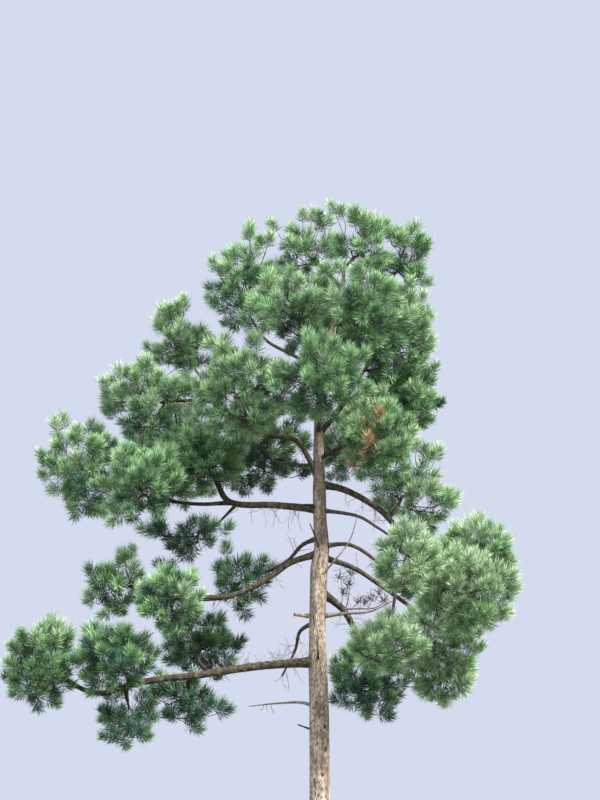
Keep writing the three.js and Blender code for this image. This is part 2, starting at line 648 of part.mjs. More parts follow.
// The side sprays of a whorl stand between the corners of the one ahead
function sideSprays({ ahead, base }) {
  return ahead.corners.map((corner) => {
    const forward = ahead.forward.clone().multiplyScalar(Math.cos(SIDE_ANGLE));
    forward.addScaledVector(corner, Math.sin(SIDE_ANGLE));
    const foot = base.clone().addScaledVector(forward, SHOOT_LENGTH + TWIG_RADIUS);
    return sprayAt(foot, forward, ahead.forward);
  });
}

// Where the stem can carry twigs: on its stretches from the heart back to where it enters the mass
function stemJunctions(mass, curve) {
  const shares = stemShares(curve).filter((share) => share > 1 - STEM_CARRYING);
  const points = shares.map((share) => curve.getPointAt(share)).filter((point) => insideSpace(mass, point));
  return points.slice(1).map((point, i) => ({
    spot: (count) => along(point, points[i], STEM_FIRST_START + STARTS_APART * count),
    path: 0,
    joined: [],
  }));
}

// A twig from a junction to a whorl, which later twigs can start on in their turn
function twigFrom(junction, whorl, sides, random) {
  const start = junction.spot(junction.joined.length);
  const length = start.distanceTo(whorl.base);
  const bent = length > LONG_TWIG;
  const bend = along(start, whorl.base, 0.5).addScaledVector(shaken(random, TWIG_SAG), TWIG_BEND * length);
  const first = bent ? BENT_FIRST_START : STRAIGHT_FIRST_START;
  return {
    whorl,
    sides,
    points: bent ? [start, bend, whorl.base] : [start, whorl.base],
    spot: (count) => along(bent ? bend : start, whorl.base, first + STARTS_APART * count),
    path: junction.path + length,
    joined: [],
  };
}

// The junction that a whorl's twig starts on: the nearest, counting the turn it would have to make
// and how far the junction lies from the stem
function bestJunction(mass, junctions, { base, ahead }) {
  const startOf = (junction) => junction.spot(junction.joined.length);
  const cost = (junction) => {
    const step = base.clone().sub(startOf(junction));
    const turn = 1 - step.clone().normalize().dot(ahead.forward);
    return step.length() * (1 + TURN_WEIGHT * turn) + PATH_WEIGHT * junction.path;
  };
  return junctions
    .filter((junction) => junction.joined.length < MOST_JOINED)
    .filter((junction) => !touchesLimb(mass.name, startOf(junction), base))
    .reduce((a, b) => (a && cost(a) <= cost(b) ? a : b), null);
}

// The twigs of a mass. A whorl that would leave the space or touch something is drawn in, and is
// skipped if it never fits.
function joinWhorls(mass, curve, random) {
  const junctions = stemJunctions(mass, curve);
  const sprays = [];
  for (const line of whorlLines(mass, random)) {
    const tries = DRAWN_IN.map((share) => whorlAt(mass, line, share));
    const whorl = tries.find(({ ahead }) => sprayFits(mass, line, ahead, sprays));
    const best = whorl && bestJunction(mass, junctions, whorl);
    if (!best) continue;
    const sides = sideSprays(whorl).map((side) => (sprayFits(mass, line, side, sprays) ? side : null));
    sprays.push(whorl.ahead, ...sides.filter(Boolean));
    const twig = twigFrom(best, whorl, sides, random);
    best.joined.push(twig);
    junctions.push(twig);
  }
  return junctions.filter((junction) => junction.whorl);
}

const loadOf = (twig) =>
  1 + twig.sides.filter(Boolean).length + twig.joined.reduce((sum, next) => sum + loadOf(next), 0);

// A spray's corners as a ring round a point, turned with the twig from the spray's direction to its own
function cornerRing(point, corners, forward, tangent, radius) {
  const turn = new THREE.Quaternion().setFromUnitVectors(forward, tangent);
  return corners.map((corner) => point.clone().addScaledVector(corner.clone().applyQuaternion(turn), radius));
}

// Three sides from a base of three corners to a spray's foot, and the spray's wings on that
function addSpray(shape, base, spray) {
  const first = shape.points.length;
  const { foot, corners, forward } = spray;
  shape.points.push(...cornerRing(foot, corners, forward, forward, TWIG_RADIUS));
  shape.points.push(...spray.teeth, spray.front);
  const [tooth, front] = [first + TWIG_SIDES, first + 2 * TWIG_SIDES];
  for (let j = 0; j < TWIG_SIDES; j++) {
    const k = (j + 1) % TWIG_SIDES;
    shape.triangles.push([base[j], base[k], first + k], [base[j], first + k, first + j]);
    shape.triangles.push([first + j, first + k, tooth + j]);
    shape.triangles.push([first + k, front, tooth + j], [first + j, tooth + j, front]);
  }
}

// One twig: a three-sided tube to its whorl, which turns by half a side and carries the sprays
function twigSolid(twig, stoutness) {
  const { points, sides } = twig;
  const { ahead, top } = twig.whorl;
  const { forward, corners } = ahead;
  const shootCount = 1 + sides.filter(Boolean).length;
  const thick = stoutness * TWIG_RADIUS * loadOf(twig) ** PIPE_POWER;
  const whorlRadius = stoutness * TWIG_RADIUS * shootCount ** PIPE_POWER;
  const opposite = corners.map((corner) => corner.clone().negate());
  const between = [opposite[1], opposite[2], opposite[0]];
  const last = points.length - 1;
  const rings = points.map((point, i) => {
    if (i === last) return cornerRing(point, between, forward, forward, whorlRadius);
    const tangent = points[i + 1].clone().sub(points[Math.max(i - 1, 0)]).normalize();
    return cornerRing(point, between, forward, tangent, thick);
  });
  rings.push(cornerRing(top, corners, forward, forward, whorlRadius));
  const triangles = tubeTriangles(points.length, TWIG_SIDES).slice(0, -1);
  const shape = { points: rings.flat(), triangles };
  const low = [0, 1, 2].map((j) => last * TWIG_SIDES + j);
  const high = low.map((corner) => corner + TWIG_SIDES);
  for (let j = 0; j < TWIG_SIDES; j++) {
    const k = (j + 1) % TWIG_SIDES;
    triangles.push([high[j], low[k], high[k]]);
    if (sides[j]) addSpray(shape, [high[j], low[j], low[k]], sides[j]);
    else triangles.push([low[j], low[k], high[j]]);
  }
  addSpray(shape, high, ahead);
  return solidFrom(shape.points, triangles);
}

// The stem with its twigs fused on. A twig that would leave the surface unsound is tried a little
// stouter and thinner, and is skipped if neither helps.
function massSolid(mass, index) {
  const curve = stems.get(mass);
  const fused = (pieces) => seated(wasm.Manifold.union(pieces), mass);
  let pieces = [stemLoft(mass, curve)];
  for (const twig of joinWhorls(mass, curve, seededRandom(FIRST_SEED + index))) {
    const tries = STOUTNESS_TRIES.map((stoutness) => [...pieces, twigSolid(twig, stoutness)]);
    pieces = tries.find((tried) => isSound(fused(tried))) ?? pieces;
  }
  return fused(pieces);
}

function meshOf(name, solid, look) {
  const material = new THREE.MeshStandardMaterial({ ...look, metalness: 0, flatShading: true });
  const mesh = new THREE.Mesh(geometryOf(solid), material);
  mesh.name = name;
  return mesh;
}

const trunkCurve = new THREE.CatmullRomCurve3(TRUNK.map(({ x, y, z }) => new THREE.Vector3(x, y, z)));
addObstacle("trunk", trunkCurve, (distance) => trunkAt(Math.min(distance, TRUNK.at(-1).z)).radius);
for (const limb of LIMBS) addObstacle(limb.name, curveOf(limb), (distance) => limbRadius(limb, distance));
for (const stub of STUBS) addObstacle("trunk", curveOf({ from: "trunk", ...stub }), () => stub.r0);
const stems = new Map(MASSES.map((mass) => [mass, stemCurve(mass)]));
for (const [mass, curve] of stems) {
  addObstacle(mass.name, curve, (distance) => stemRadius(mass, distance / curve.getLength()));
}

const tree = new THREE.Group();
tree.add(meshOf("trunk", cleaned(trunkWithStubs()), BARK));
for (const limb of LIMBS) {
  tree.add(meshOf(limb.name, seated(limbLoft(limb, 0), limb), limb.dead ? DEAD_WOOD : BARK));
}
MASSES.forEach((mass, index) => tree.add(meshOf(mass.name, massSolid(mass, index), NEEDLES)));

export default tree;
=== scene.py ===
"""A maritime pine in Blender: relief on the bark, twigs, dead shoots and tufts of needles.

Metres, +Z up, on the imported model's frame. The tree is seen from the -Y side, with +X to the right.
The tables and the growth rule repeat the CAD source's, and carry each mass on to finer twigs.
"""

import math
from collections import namedtuple
from functools import partial

import bpy
import numpy as np
from numpy.linalg import norm
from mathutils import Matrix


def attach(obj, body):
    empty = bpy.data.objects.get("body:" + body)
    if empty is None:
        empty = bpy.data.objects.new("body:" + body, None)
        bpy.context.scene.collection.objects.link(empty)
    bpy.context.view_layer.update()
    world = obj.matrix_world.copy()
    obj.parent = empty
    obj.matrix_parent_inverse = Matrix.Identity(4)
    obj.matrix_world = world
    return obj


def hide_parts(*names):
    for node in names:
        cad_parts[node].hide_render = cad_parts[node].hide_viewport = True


# Trunk: height, middle and radius
TRUNK = [
    (0, 0, 0, 0.3), (0.18, 0, 0, 0.262), (0.45, -0.002, 0.004, 0.232), (1.3, -0.012, 0.012, 0.208),
    (4, -0.02, 0.025, 0.188), (7.2, -0.006, 0.015, 0.17), (8.45, -0.012, 0.005, 0.164),
    (9.25, -0.031, 0, 0.157), (10, -0.037, 0, 0.138), (10.9, -0.008, 0, 0.15), (11.3, 0.042, 0, 0.13),
    (11.8, 0.012, 0, 0.114), (12.3, 0.004, 0, 0.114), (12.7, -0.002, 0, 0.1), (13.1, -0.008, 0, 0.09),
    (13.7, 0, 0, 0.08), (14.4, 0.064, 0.005, 0.068), (15.3, 0.255, 0.02, 0.052),
    (16.1, 0.43, 0.02, 0.038), (16.6, 0.47, 0, 0.03),
]

# Limbs: the height or share where each starts, its radii, its way, and its carrier if not the trunk
LIMB_ROWS = {
    "low_left_bough": (9.315, 0.076, 0.05,
        [(-1, -0.12, 9.215), (-2, -0.3, 9.025), (-2.95, -0.45, 8.865), (-3.51, -0.5, 8.68)]),
    "mid_left_bough": (11.2, 0.054, 0.04,
        [(-0.48, -0.03, 11.025), (-0.89, -0.06, 10.725), (-1.51, -0.13, 10.41), (-2.02, -0.18, 10.34)]),
    "mid_left_rear_bough": (11.48, 0.038, 0.026,
        [(-0.28, 0.18, 11.4), (-0.52, 0.38, 11.19), (-0.76, 0.47, 11.06)]),
    "long_left_bough": (11.98, 0.066, 0.046,
        [(-0.74, 0, 12.05), (-1.56, 0, 12.125), (-1.79, 0.02, 12.53), (-1.96, 0.03, 12.8)]),
    "long_left_outer_bough": (0.64, 0.036, 0.025,
        [(-2.07, -0.02, 12.065), (-2.79, -0.06, 12.145), (-3.2, -0.1, 12.25)], "long_left_bough"),
    "long_left_lower_bough": (0.6, 0.026, 0.018,
        [(-1.585, 0, 11.89), (-1.74, 0.01, 11.72)], "long_left_bough"),
    "upper_left_bough": (12.48, 0.05, 0.038,
        [(-0.185, -0.02, 12.9), (-0.4, -0.01, 13.225), (-1.08, 0, 13.345), (-1.43, 0, 13.54)]),
    "left_peak_bough": (1, 0.036, 0.022,
        [(-1.75, 0.09, 14), (-2.1, 0.2, 14.5), (-2.33, 0.26, 14.9)], "upper_left_bough"),
    "top_left_bough": (14.5, 0.038, 0.022, [(-0.42, 0, 14.8), (-0.93, 0, 15.105), (-1.22, 0, 15.56)]),
    "upper_right_bough": (13.34, 0.048, 0.028,
        [(0.31, 0, 13.73), (0.705, 0, 14.385), (1.05, 0, 14.935), (1.26, 0, 15.3)]),
    "top_right_bough": (15.75, 0.03, 0.018, [(0.745, 0.15, 15.955), (1.315, 0.3, 16.49)]),
    "right_arm_bough": (12.43, 0.06, 0.044,
        [(0.445, 0.05, 12.34), (1.05, 0.2, 12.025), (1.445, 0.3, 11.64), (1.9, 0.4, 11.44)]),
    "right_thin_bough": (11.96, 0.034, 0.024, [(0.4, -0.2, 11.85), (0.685, -0.4, 11.72), (1, -0.78, 11.4)]),
    "right_arch_bough": (11.32, 0.036, 0.026,
        [(0.5, -0.2, 11.29), (0.96, -0.48, 10.925), (1.48, -0.8, 10.34)]),
    "right_lower_bough": (11.13, 0.047, 0.034, [(0.57, 0.2, 11), (1.04, 0.4, 10.745), (1.54, 0.56, 10.42)]),
    "right_stout_bough": (10.54, 0.07, 0.05, [(0.4, 0.38, 10.31), (0.64, 0.62, 9.96)]),
    "back_left_bough": (12.78, 0.044, 0.028, [(-0.3, 0.7, 13), (-0.74, 1.6, 13.35)]),
    "back_right_bough": (13.02, 0.044, 0.028, [(0.24, 0.74, 13.22), (0.54, 1.65, 13.59)]),
    "front_bough": (13.4, 0.042, 0.028, [(-0.01, -0.65, 13.42), (-0.03, -1.5, 13.56)]),
    "curled_dead_limb": (10.01, 0.038, 0.014,
        [(-0.33, 0.29, 9.9), (-0.41, 0.44, 9.62), (-0.64, 0.52, 9.18)]),
    "pale_dead_limb": (10.085, 0.038, 0.008,
        [(0.4, -0.06, 10.125), (0.84, -0.14, 10.14), (1.22, -0.25, 10.29)]),
    "low_dead_limb": (8.5, 0.028, 0.007, [(-0.25, 0, 8.615), (-0.73, 0, 8.608), (-1.18, 0, 8.56)]),
}
DEAD_LIMBS = {"curled_dead_limb", "pale_dead_limb", "low_dead_limb"}

# Broken stubs and a thin dead shoot on the trunk, stub_0 to stub_4: height, radii and way
STUBS = [
    (10.08, 0.035, 0.028, [(-0.44, 0, 10.13)]),
    (8.13, 0.017, 0.01, [(-0.37, 0, 8.255)]),
    (9.3, 0.022, 0.012, [(-0.03, -0.26, 9.4), (-0.045, -0.3, 9.6)]),
    (11.18, 0.026, 0.008, [(-0.1, -0.29, 11.48), (-0.165, -0.38, 11.61)]),
    (10.74, 0.017, 0.007, [(0.17, -0.2, 10.905), (0.505, -0.35, 11.315), (0.635, -0.4, 11.7)]),
]

# Regions of the crown: the masses of each share their pieces
REGIONS = (
    "low_left", "middle_left", "long_left", "upper_left", "crest", "crest_right",
    "upper_right", "arm_right", "low_right",
)

# Masses of needles: what the stem starts on, where, the middle and half sizes, whorls, the region's
# place in REGIONS, how much lighter the mass is (in part painted light and shade over the whole mass), its
# clumps' level, and its tips if any
MASS_ROWS = {
    "low_left_end": ("low_left_bough", 1, (-4.6, -0.6, 9.17), (0.84, 0.91, 0.9), 4, 0, -0.05, -0.2,
        [(-5.02, -0.6, 9.71), (-4.43, -0.5, 10.18), (-5.31, -0.4, 8.92), (-4.58, -0.7, 8.16)]),
    "low_left_upper": ("low_left_bough", 0.86, (-3.35, -1, 9.12), (0.89, 0.81, 0.66), 5, 0, -0.28, -0.32,
        [(-3.89, -1.3, 9.67), (-2.78, -1.1, 9.89), (-2.5, -1.5, 9.33)]),
    "low_left_hanging": ("low_left_bough", 0.9, (-3.16, -0.25, 8.38), (0.62, 0.7, 0.73), 4, 0, -0.38, -0.2,
        [(-3.14, -0.3, 7.84), (-3.54, -0.2, 8.63)]),
    "low_left_under": ("low_left_bough", 0.6, (-2.21, 0.35, 8.81), (0.89, 0.84, 0.7), 4, 0, -0.36, 0.05,
        [(-2.54, 0.3, 8.46), (-1.81, 0.4, 8.61)]),
    "low_left_back": ("low_left_bough", 0.5, (-2.09, 1.6, 10.03), (0.85, 0.84, 0.74), 3, 0, -0.28, -0.2,
        [(-1.71, 1.7, 10.27)]),
    "shelf_end": ("mid_left_bough", 1, (-3.45, -0.35, 10.6), (0.72, 0.78, 0.78), 4, 1, 0, 0,
        [(-4.05, -0.3, 10.73), (-3.51, -0.3, 11.15), (-3.72, -0.5, 10.01), (-3.11, -0.2, 11.02)]),
    "shelf_near": ("mid_left_bough", 0.78, (-2.44, -1.35, 10.13), (0.84, 0.78, 0.65), 4, 1, 0, -0.24,
        [(-2.77, -1.5, 10.52), (-2.11, -1.5, 9.92)]),
    "mid_left": ("mid_left_rear_bough", 1, (-1.44, 0.6, 10.94), (0.99, 0.94, 0.8), 4, 1, -0.24, 0.6,
        [(-2.06, 0.5, 11.34), (-1.27, 0.6, 11.42), (-1.68, 0.7, 10.56), (-0.68, 0.9, 10.93)]),
    "long_left_under": ("long_left_lower_bough", 1, (-2.35, 0.1, 11.51), (0.98, 0.94, 0.79), 5,
        1, -0.22, 0.25, [(-2.73, 0.1, 11.32), (-1.95, 0.2, 11.77)]),
    "long_left_end": ("long_left_outer_bough", 1, (-4.08, -0.2, 12.69), (0.95, 1.09, 1.13), 4, 2, 0.06, 0.2,
        [(-4.64, -0.2, 13.46), (-3.69, -0.5, 13.21), (-4.82, -0.3, 12.55), (-4.36, -0.4, 11.72)]),
    "long_left_near": ("long_left_outer_bough", 0.55, (-2.97, -1.45, 12.01), (0.81, 0.86, 0.81), 4,
        2, -0.1, 0.06, [(-3.57, -1.85, 11.1), (-2.6, -1.85, 11.23)]),
    "long_left_back": ("long_left_bough", 0.86, (-2.68, 2.1, 13.41), (0.92, 0.98, 0.92), 3, 2, 0, 0),
    "long_left_inner": ("long_left_bough", 1, (-1.91, -0.4, 12.83), (0.79, 0.81, 0.76), 4, 2, 0, -0.15),
    "upper_left_outer": ("left_peak_bough", 0.3, (-3.03, -0.2, 13.87), (0.96, 1, 0.96), 4, 3, 0.18, 0.05,
        [(-3.34, -0.2, 14.54), (-3.97, -0.2, 13.87)]),
    "left_peak": ("left_peak_bough", 1, (-2.51, 0.3, 15.26), (0.6, 0.84, 0.98), 4, 3, 0.16, 0.1,
        [(-2.8, 0.3, 16.11), (-2.19, 0.3, 15.61)]),
    "upper_left_near": ("upper_left_bough", 0.8, (-1.34, -1.5, 13.71), (0.92, 0.99, 0.96), 5, 3, 0.12, -0.12,
        [(-1.7, -1.2, 14.92)]),
    "back_left": ("back_left_bough", 1, (-1.04, 2.5, 13.89), (0.98, 1.01, 0.95), 4, 3, -0.15, -0.1),
    "top_left": ("top_left_bough", 1, (-1.31, -0.1, 16.06), (0.8, 1.1, 1.3), 4, 4, 0, 0.28,
        [(-1.09, -0.1, 17.11), (-1.87, -0.1, 16.57), (-2, -0.1, 15.83), (-1.57, 0, 15.1)]),
    "top_near": ("trunk", 14.7, (-0.43, -1.7, 15.01), (0.89, 0.94, 0.89), 5, 4, 0, 0.14),
    "top_middle": ("trunk", 16.05, (-0.26, 0.3, 16.98), (0.84, 0.9, 0.88), 3, 4, 0.1, 0.36,
        [(-0.62, 0.2, 17.59), (-0.13, 0.4, 17.74), (-0.84, 0.3, 16.98)]),
    "top": ("trunk", 16.45, (0.82, -0.2, 16.89), (0.83, 0.95, 0.98), 4, 5, 0.1, 0.38,
        [(1.24, -0.1, 17.75), (0.5, -0.2, 17.64), (0.89, 0.8, 17.95)]),
    "top_right": ("top_right_bough", 1, (1.55, 0.3, 16.78), (0.72, 0.95, 1.08), 4, 5, 0, 0.22,
        [(1.79, 0.4, 17.74), (2.03, 0.3, 17.02)]),
    "top_back": ("trunk", 15.3, (0.38, 1.9, 16.06), (0.95, 1.03, 1.03), 4, 4, 0, -0.1),
    "right_high": ("upper_right_bough", 1, (1.34, -0.6, 15.09), (0.8, 0.87, 0.85), 4, 5, 0.1, -0.32,
        [(1.94, -0.6, 15.58), (1.97, -0.5, 14.94)]),
    "right_high_near": ("trunk", 14.25, (0.78, -1.9, 14.96), (0.85, 0.89, 0.85), 5, 5, 0, -0.05),
    "front": ("front_bough", 1, (-0.03, -2.1, 13.67), (0.9, 0.91, 0.84), 5, 6, -0.06, -0.1),
    "right_shoulder": ("upper_right_bough", 0.62, (1.57, 0.2, 14.2), (0.86, 0.86, 0.78), 4, 6, 0, -0.32,
        [(2.14, 0.2, 14.27)]),
    "right_brown": ("trunk", 12.86, (1.01, -0.9, 12.96), (0.78, 0.8, 0.75), 4, 6, 0, -0.32),
    "back_right": ("back_right_bough", 1, (0.83, 2.5, 14.09), (0.95, 0.97, 0.9), 4, 6, 0, -0.1),
    "right_arm_upper": ("right_arm_bough", 0.6, (1.62, 0.4, 12.52), (1.03, 0.99, 0.85), 4, 7, 0.25, 0.3,
        [(1.88, 0.4, 13.19)]),
    "right_arm_end": ("right_arm_bough", 1, (2.69, 0.2, 11.26), (0.87, 0.81, 0.68), 4, 7, 0.2, -0.32,
        [(2.58, 0.3, 12.09), (3.37, 0.2, 11.2)]),
    "right_near": ("right_thin_bough", 1, (1.41, -1.85, 10.59), (0.67, 0.75, 0.75), 4, 7, 0.4, -0.16),
    "right_low": ("right_arch_bough", 1, (2.45, -0.8, 10.34), (1, 0.98, 0.87), 5, 8, 0.44, -0.3,
        [(3.4, -0.7, 10.67), (3.27, -0.7, 9.99)]),
    "right_skirt": ("right_arch_bough", 0.8, (1.06, -1.2, 9.37), (0.83, 0.77, 0.64), 4, 8, 0.38, -0.16,
        [(0.48, -1.2, 9.57)]),
    "right_dark": ("right_stout_bough", 1, (0.8, 1, 9.26), (0.87, 0.91, 0.87), 5, 8, -0.22, -0.16,
        [(0.32, 1, 9.22)]),
    "right_skirt_end": ("right_lower_bough", 1, (2.09, 0.6, 9.48), (0.86, 0.95, 0.94), 5, 8, 0.25, 0),
    "right_back": ("right_lower_bough", 0.75, (2.12, 2.4, 11.46), (0.92, 0.95, 0.88), 3, 7, 0, -0.1),
}

# Clearances and spacings
LIMB_CLEARANCE = 0.04
SPACE_MARGIN = 0.022
LIMB_SPACING = 0.12
PROBE_SPACING = 0.05

# Limbs and stems
ROOT_LOBES = 5
ROOT_LOBE_DEPTH = 0.15
ROOT_LOBE_HEIGHT = 0.38
COLLAR_SWELL = 0.35
COLLAR_LENGTH = 0.11
STEM_RINGS = 10
STEM_STEP = 0.3
STEM_LEAN = 0.4
STEM_WITHIN = 0.92
ROOT_POWER = 0.52
STEM_TAPER = 0.8
HEART_SHARE = 0.3
STEM_CARRYING = 0.65
STARTS_APART = 0.2
STEM_FIRST_START = 0.05
BENT_FIRST_START = 0.1
STRAIGHT_FIRST_START = 0.4

# Twigs, whorls and sprays, with the finer ones that only the scene has
TWIG_RADIUS = 0.011
FINE_TWIG_RADIUS = 0.006
PIPE_POWER = 0.42
LONG_TWIG = 0.48
TWIG_BEND = 0.12
TWIG_SAG = 0.8
PATH_WEIGHT = 0.35
TURN_WEIGHT = 0.4
MOST_JOINED = 3
WHORL_LENGTH = 0.045
SHOOT_LENGTH = 0.085
SIDE_ANGLE = 0.95
SPRAY_FRONT = 0.54
TOOTH_FORWARD = 0.285
TOOTH_OUT = 0.245
SPRAYS_PER_WHORL = 3
SPRAY_CLEARANCE = 0.26
REACH = (1, 1.3)
DRAWN_IN = (1, 0.9, 0.8, 0.7, 0.6, 0.5)
SPRAY_PROBES = 5
CROWN_PULL = 2
OPEN_PULL = 2.15
UPWARD = 0.25
SHAKE = 0.25
TURN_SHAKE = 0.5
LEVEL_SHAKE = 0.2
FIRST_SEED = 1000
FINE_LINES = 200
FINE_LINES_OPEN = 80
FINE_CLEARANCE = 0.12
FINE_SPREAD = 0.4
FINE_JOINED = 6
FINE_REACH = (0.25, 1.6)
FINE_SIZE = 0.85
FINE_OVERLAP = 0.12
FINE_UPWARD = 0.6
FINE_SIDE_UPWARD = 0.3

# Tufts of needles
NEEDLES_PER_TUFT = 130
NEEDLE_LENGTH = 0.24
NEEDLE_WIDTH = 0.0125
NEEDLE_LENGTHS = (0.8, 1.05)
NEEDLE_CROWDING = 0.8
TUFT_SIZES = (0.8, 1.08)
TUFT_TURNS = 6.3
TUFT_SHOOT = 0.27
TUFT_BARE = 0.12
NEEDLE_OPEN = (1.4, 0.5)
NEEDLE_SHAKE = 0.2
NEEDLE_RISE = 0.12
NEEDLE_RISE_SHAKE = 0.06
NEEDLE_SEED = 7
# Needle tones: the tips of needles low on the shoot, a random shake, and each corner's tone, 0 at the root
# (dark, partly the needles' own colour and partly painted shade in the tuft's core) to 1 at the tip
TONE_LOW = 0.36
TONE_SHAKE = 0.5
TONE_AT_CORNERS = (0, 0.5, 1, 0.5)

# Colours of needles at the root and tip, from the darkest to the lightest, and how tufts get them.
# The greens are lit and shaded copies, dealt to tufts as painted light and shade; their dark roots are
# partly painted shade
NEEDLE_COLOURS = [
    ("deep", (24, 46, 38), (100, 148, 112)),
    ("dark", (28, 56, 38), (130, 178, 122)),
    ("middle", (38, 70, 44), (162, 208, 146)),
    ("light", (50, 86, 52), (186, 228, 164)),
    ("pale", (68, 102, 62), (208, 236, 188)),
    ("dry", (124, 104, 76), (224, 202, 158)),
]
COLOUR_STEPS = (0.26, 0.42, 0.6, 0.82)
# Painted light and shade dealt to tufts: the middle level, paler towards the top of a mass and outward past
# a share of its size
PAINTED_LIGHT_MIDDLE = 0.5
PAINTED_LIGHT_UPWARD = 0.2
PAINTED_LIGHT_OUTWARD = 0.3
PAINTED_LIGHT_EDGE = 0.7
LIGHT_SHAKE = 0.2
DRY_COLOUR = 5
DRY_PLACES = ((0.78, -1.2, 13.41), (0.8, -1.4, 12.88), (1.06, -1.4, 12.93), (0.46, -0.9, 12.66))
DRY_HALF = (0.19, 0.8, 0.18)

# Masses with sky among and around them
OPEN_MASSES = {
    "mid_left", "long_left_under", "low_left_hanging", "low_left_under",
    "low_left_back", "shelf_end", "right_near",
}

# Waves in space that set the fine tufts in clumps, which stand apart more below a mass's middle
CLUMP_SPACING = 0.7
CLUMP_WAYS = ((0.8, 0.5, 0.33), (-0.5, 0.75, 0.43), (0.28, -0.4, 0.87))
CLUMP_BELOW = 0.35

# Bark relief: on the trunk and limbs the sides, the plates round and the depth
BARK_RING = 0.03
LEAST_RINGS = 8
CLOSED_TO = 0.02
TRUNK_BARK = (120, 32, 0.045)
LIMB_BARK = (24, 8, 0.08)
PLATE_HEIGHT = 0.1
PLATE_ROWS = 180
FISSURE_WIDTH = 0.3
BARK_SEED = 3
# Limbs and stubs given the dark bough bark in place of their own: on the curled dead limb, dead wood, it is
# painted shade
DARK_LIMBS = {"curled_dead_limb", "stub_1", "stub_2", "stub_3"}

# Knots on the trunk: height, the turn from +X and size
KNOT_DEPTH = 2.2
KNOTS = [
    (8.2, -0.95, 0.028), (7.83, -0.9, 0.026), (7.4, -1.3, 0.022), (6.1, -1.9, 0.03), (4.9, -0.6, 0.032),
    (3.4, 0.9, 0.036), (5.6, 2.4, 0.032), (8.9, 2.9, 0.028),
]

# Twigs: the dead ones by limb, with the shares between which they stand, how many, how long and lift
STEM_TUBE_SIDES = 8
TWIG_TUBE_SIDES = 4
SHOOT_TAPER = np.array([1, 0.8, 0.4])
DRY_SEED = 11
DRY_TWIG_RADIUS = 0.0055
DRY_TWIG_TAPER = (1, 0.35)
DRY_TWIG_SHAKE = 0.45
DRY_TWIG_SIZES = (0.45, 1.1)
DRY_TWIG_STEPS = 4
DRY_TWIG_BEND = 0.28
DRY_FINE_TAPER = (0.5, 0.25)
DRY_FINE_SHAKE = 0.7
DRY_FINE_SIZES = (0.15, 0.4)
DRY_TWIGS = [
    ("long_left_bough", 0.12, 0.6, 16, 0.5, -0.9),
    ("low_left_bough", 0.05, 0.5, 30, 0.34, 1),
    ("low_left_bough", 0.1, 0.9, 12, 0.4, -0.9),
    ("mid_left_bough", 0.2, 0.9, 16, 0.4, -0.7),
    ("mid_left_rear_bough", 0.3, 1, 6, 0.4, 0.5),
    ("upper_left_bough", 0.2, 0.8, 12, 0.4, -0.6),
    ("right_arm_bough", 0.2, 0.9, 14, 0.4, -0.5),
    ("right_lower_bough", 0.2, 0.9, 14, 0.4, 0.2),
    ("right_arch_bough", 0.2, 0.9, 10, 0.35, -0.3),
    ("right_stout_bough", 0.4, 1, 10, 0.5, 0.1),
    ("curled_dead_limb", 0.4, 1, 14, 0.45, -0.4),
    ("pale_dead_limb", 0.3, 1, 12, 0.35, 0.8),
    ("low_dead_limb", 0.6, 1, 3, 0.2, -0.9),
]

# Dark shoots that stand off one bough: the share along it, the radii at both ends and the way
SHOOTS_ON = "right_stout_bough"
SIDE_SHOOTS = [
    (0.55, 0.014, 0.007, [(0.7, 0.42, 10.33), (0.95, 0.45, 10.35), (1.15, 0.5, 10.49)]),
    (0.6, 0.009, 0.004, [(0.5, 0.4, 10.5), (0.52, 0.4, 10.75), (0.55, 0.4, 10.95)]),
    (0.5, 0.007, 0.004, [(0.4, 0.4, 10.55), (0.37, 0.4, 10.85)]),
]

# Dead tufts of short curled hairs
DRY_TUFTS = [
    (0.55, 0.4, 10.95), (0.53, 0.4, 10.75), (0.42, 0.4, 10.6), (0.37, 0.4, 10.86), (1.03, 0.45, 10.62),
    (1.12, 0.5, 10.5), (0.9, 0.45, 10.52), (0.8, 0.45, 10.44), (0.66, 0.42, 10.44),
]
DRY_HAIRS = 22
DRY_HAIR_LENGTH = 0.15
DRY_HAIR_RADIUS = 0.005
HAIR_APART = 0.03
HAIR_UPWARD = 0.5
HAIR_SHAKE = 0.6
HAIR_CURL = 0.5
HAIR_ENDS = (0.2, 0.6)
SIDE_SHOOT_RINGS = 8

# Wood: its colours from dark to light, the colour in its fissures (partly its own, partly painted shade in
# them), and how fine its streaks are
WOODS = {
    "trunk_bark": ([(100, 86, 72), (143, 129, 113), (182, 170, 154)], (58, 48, 40), 14),
    "bough_bark": ([(46, 42, 35), (72, 67, 55), (100, 94, 77)], (33, 29, 25), 16),
    "dead_wood": ([(94, 86, 78), (122, 113, 104), (148, 138, 127)], (72, 65, 59), 18),
    "twig_bark": ([(38, 34, 30), (54, 47, 41), (72, 63, 54)], (30, 26, 24), 20),
}
WOOD_STEPS = (0.3, 0.5, 0.7)
WOOD_DETAIL = 6
STREAK_STRETCH = (1, 1, 0.25)
GRAIN_STRETCH = (1, 1, 0.3)
GRAIN_FINENESS = 3
BUMP_STRENGTH = 0.5
BUMP_DEPTH = 0.01

# How needles vary from place to place: the patches' fineness, and the dullest and brightest of them
PATCH_SCALE = 2.5
PATCH_DETAIL = 3
PATCHES = ((0.3, 0.86), (0.7, 1.1))

# Roughness and specular level
WOOD_SHINE = (0.9, 0.2)
NEEDLE_SHINE = (0.55, 0.28)
FLOOR_SHINE = (0.95, 0.1)

# Lights: name, colour, strength, softness and turn
LIGHTS = [
    ("sun", (1, 0.98, 0.94), 10.8, 0.2, (0.85, 0.25, 0.7)),
    ("fill", (0.92, 0.96, 1), 3.2, 1.4, (1.2, 0, -0.6)),
]
SKY_COLOUR = (213, 219, 238)
SKY_STRENGTH = 1

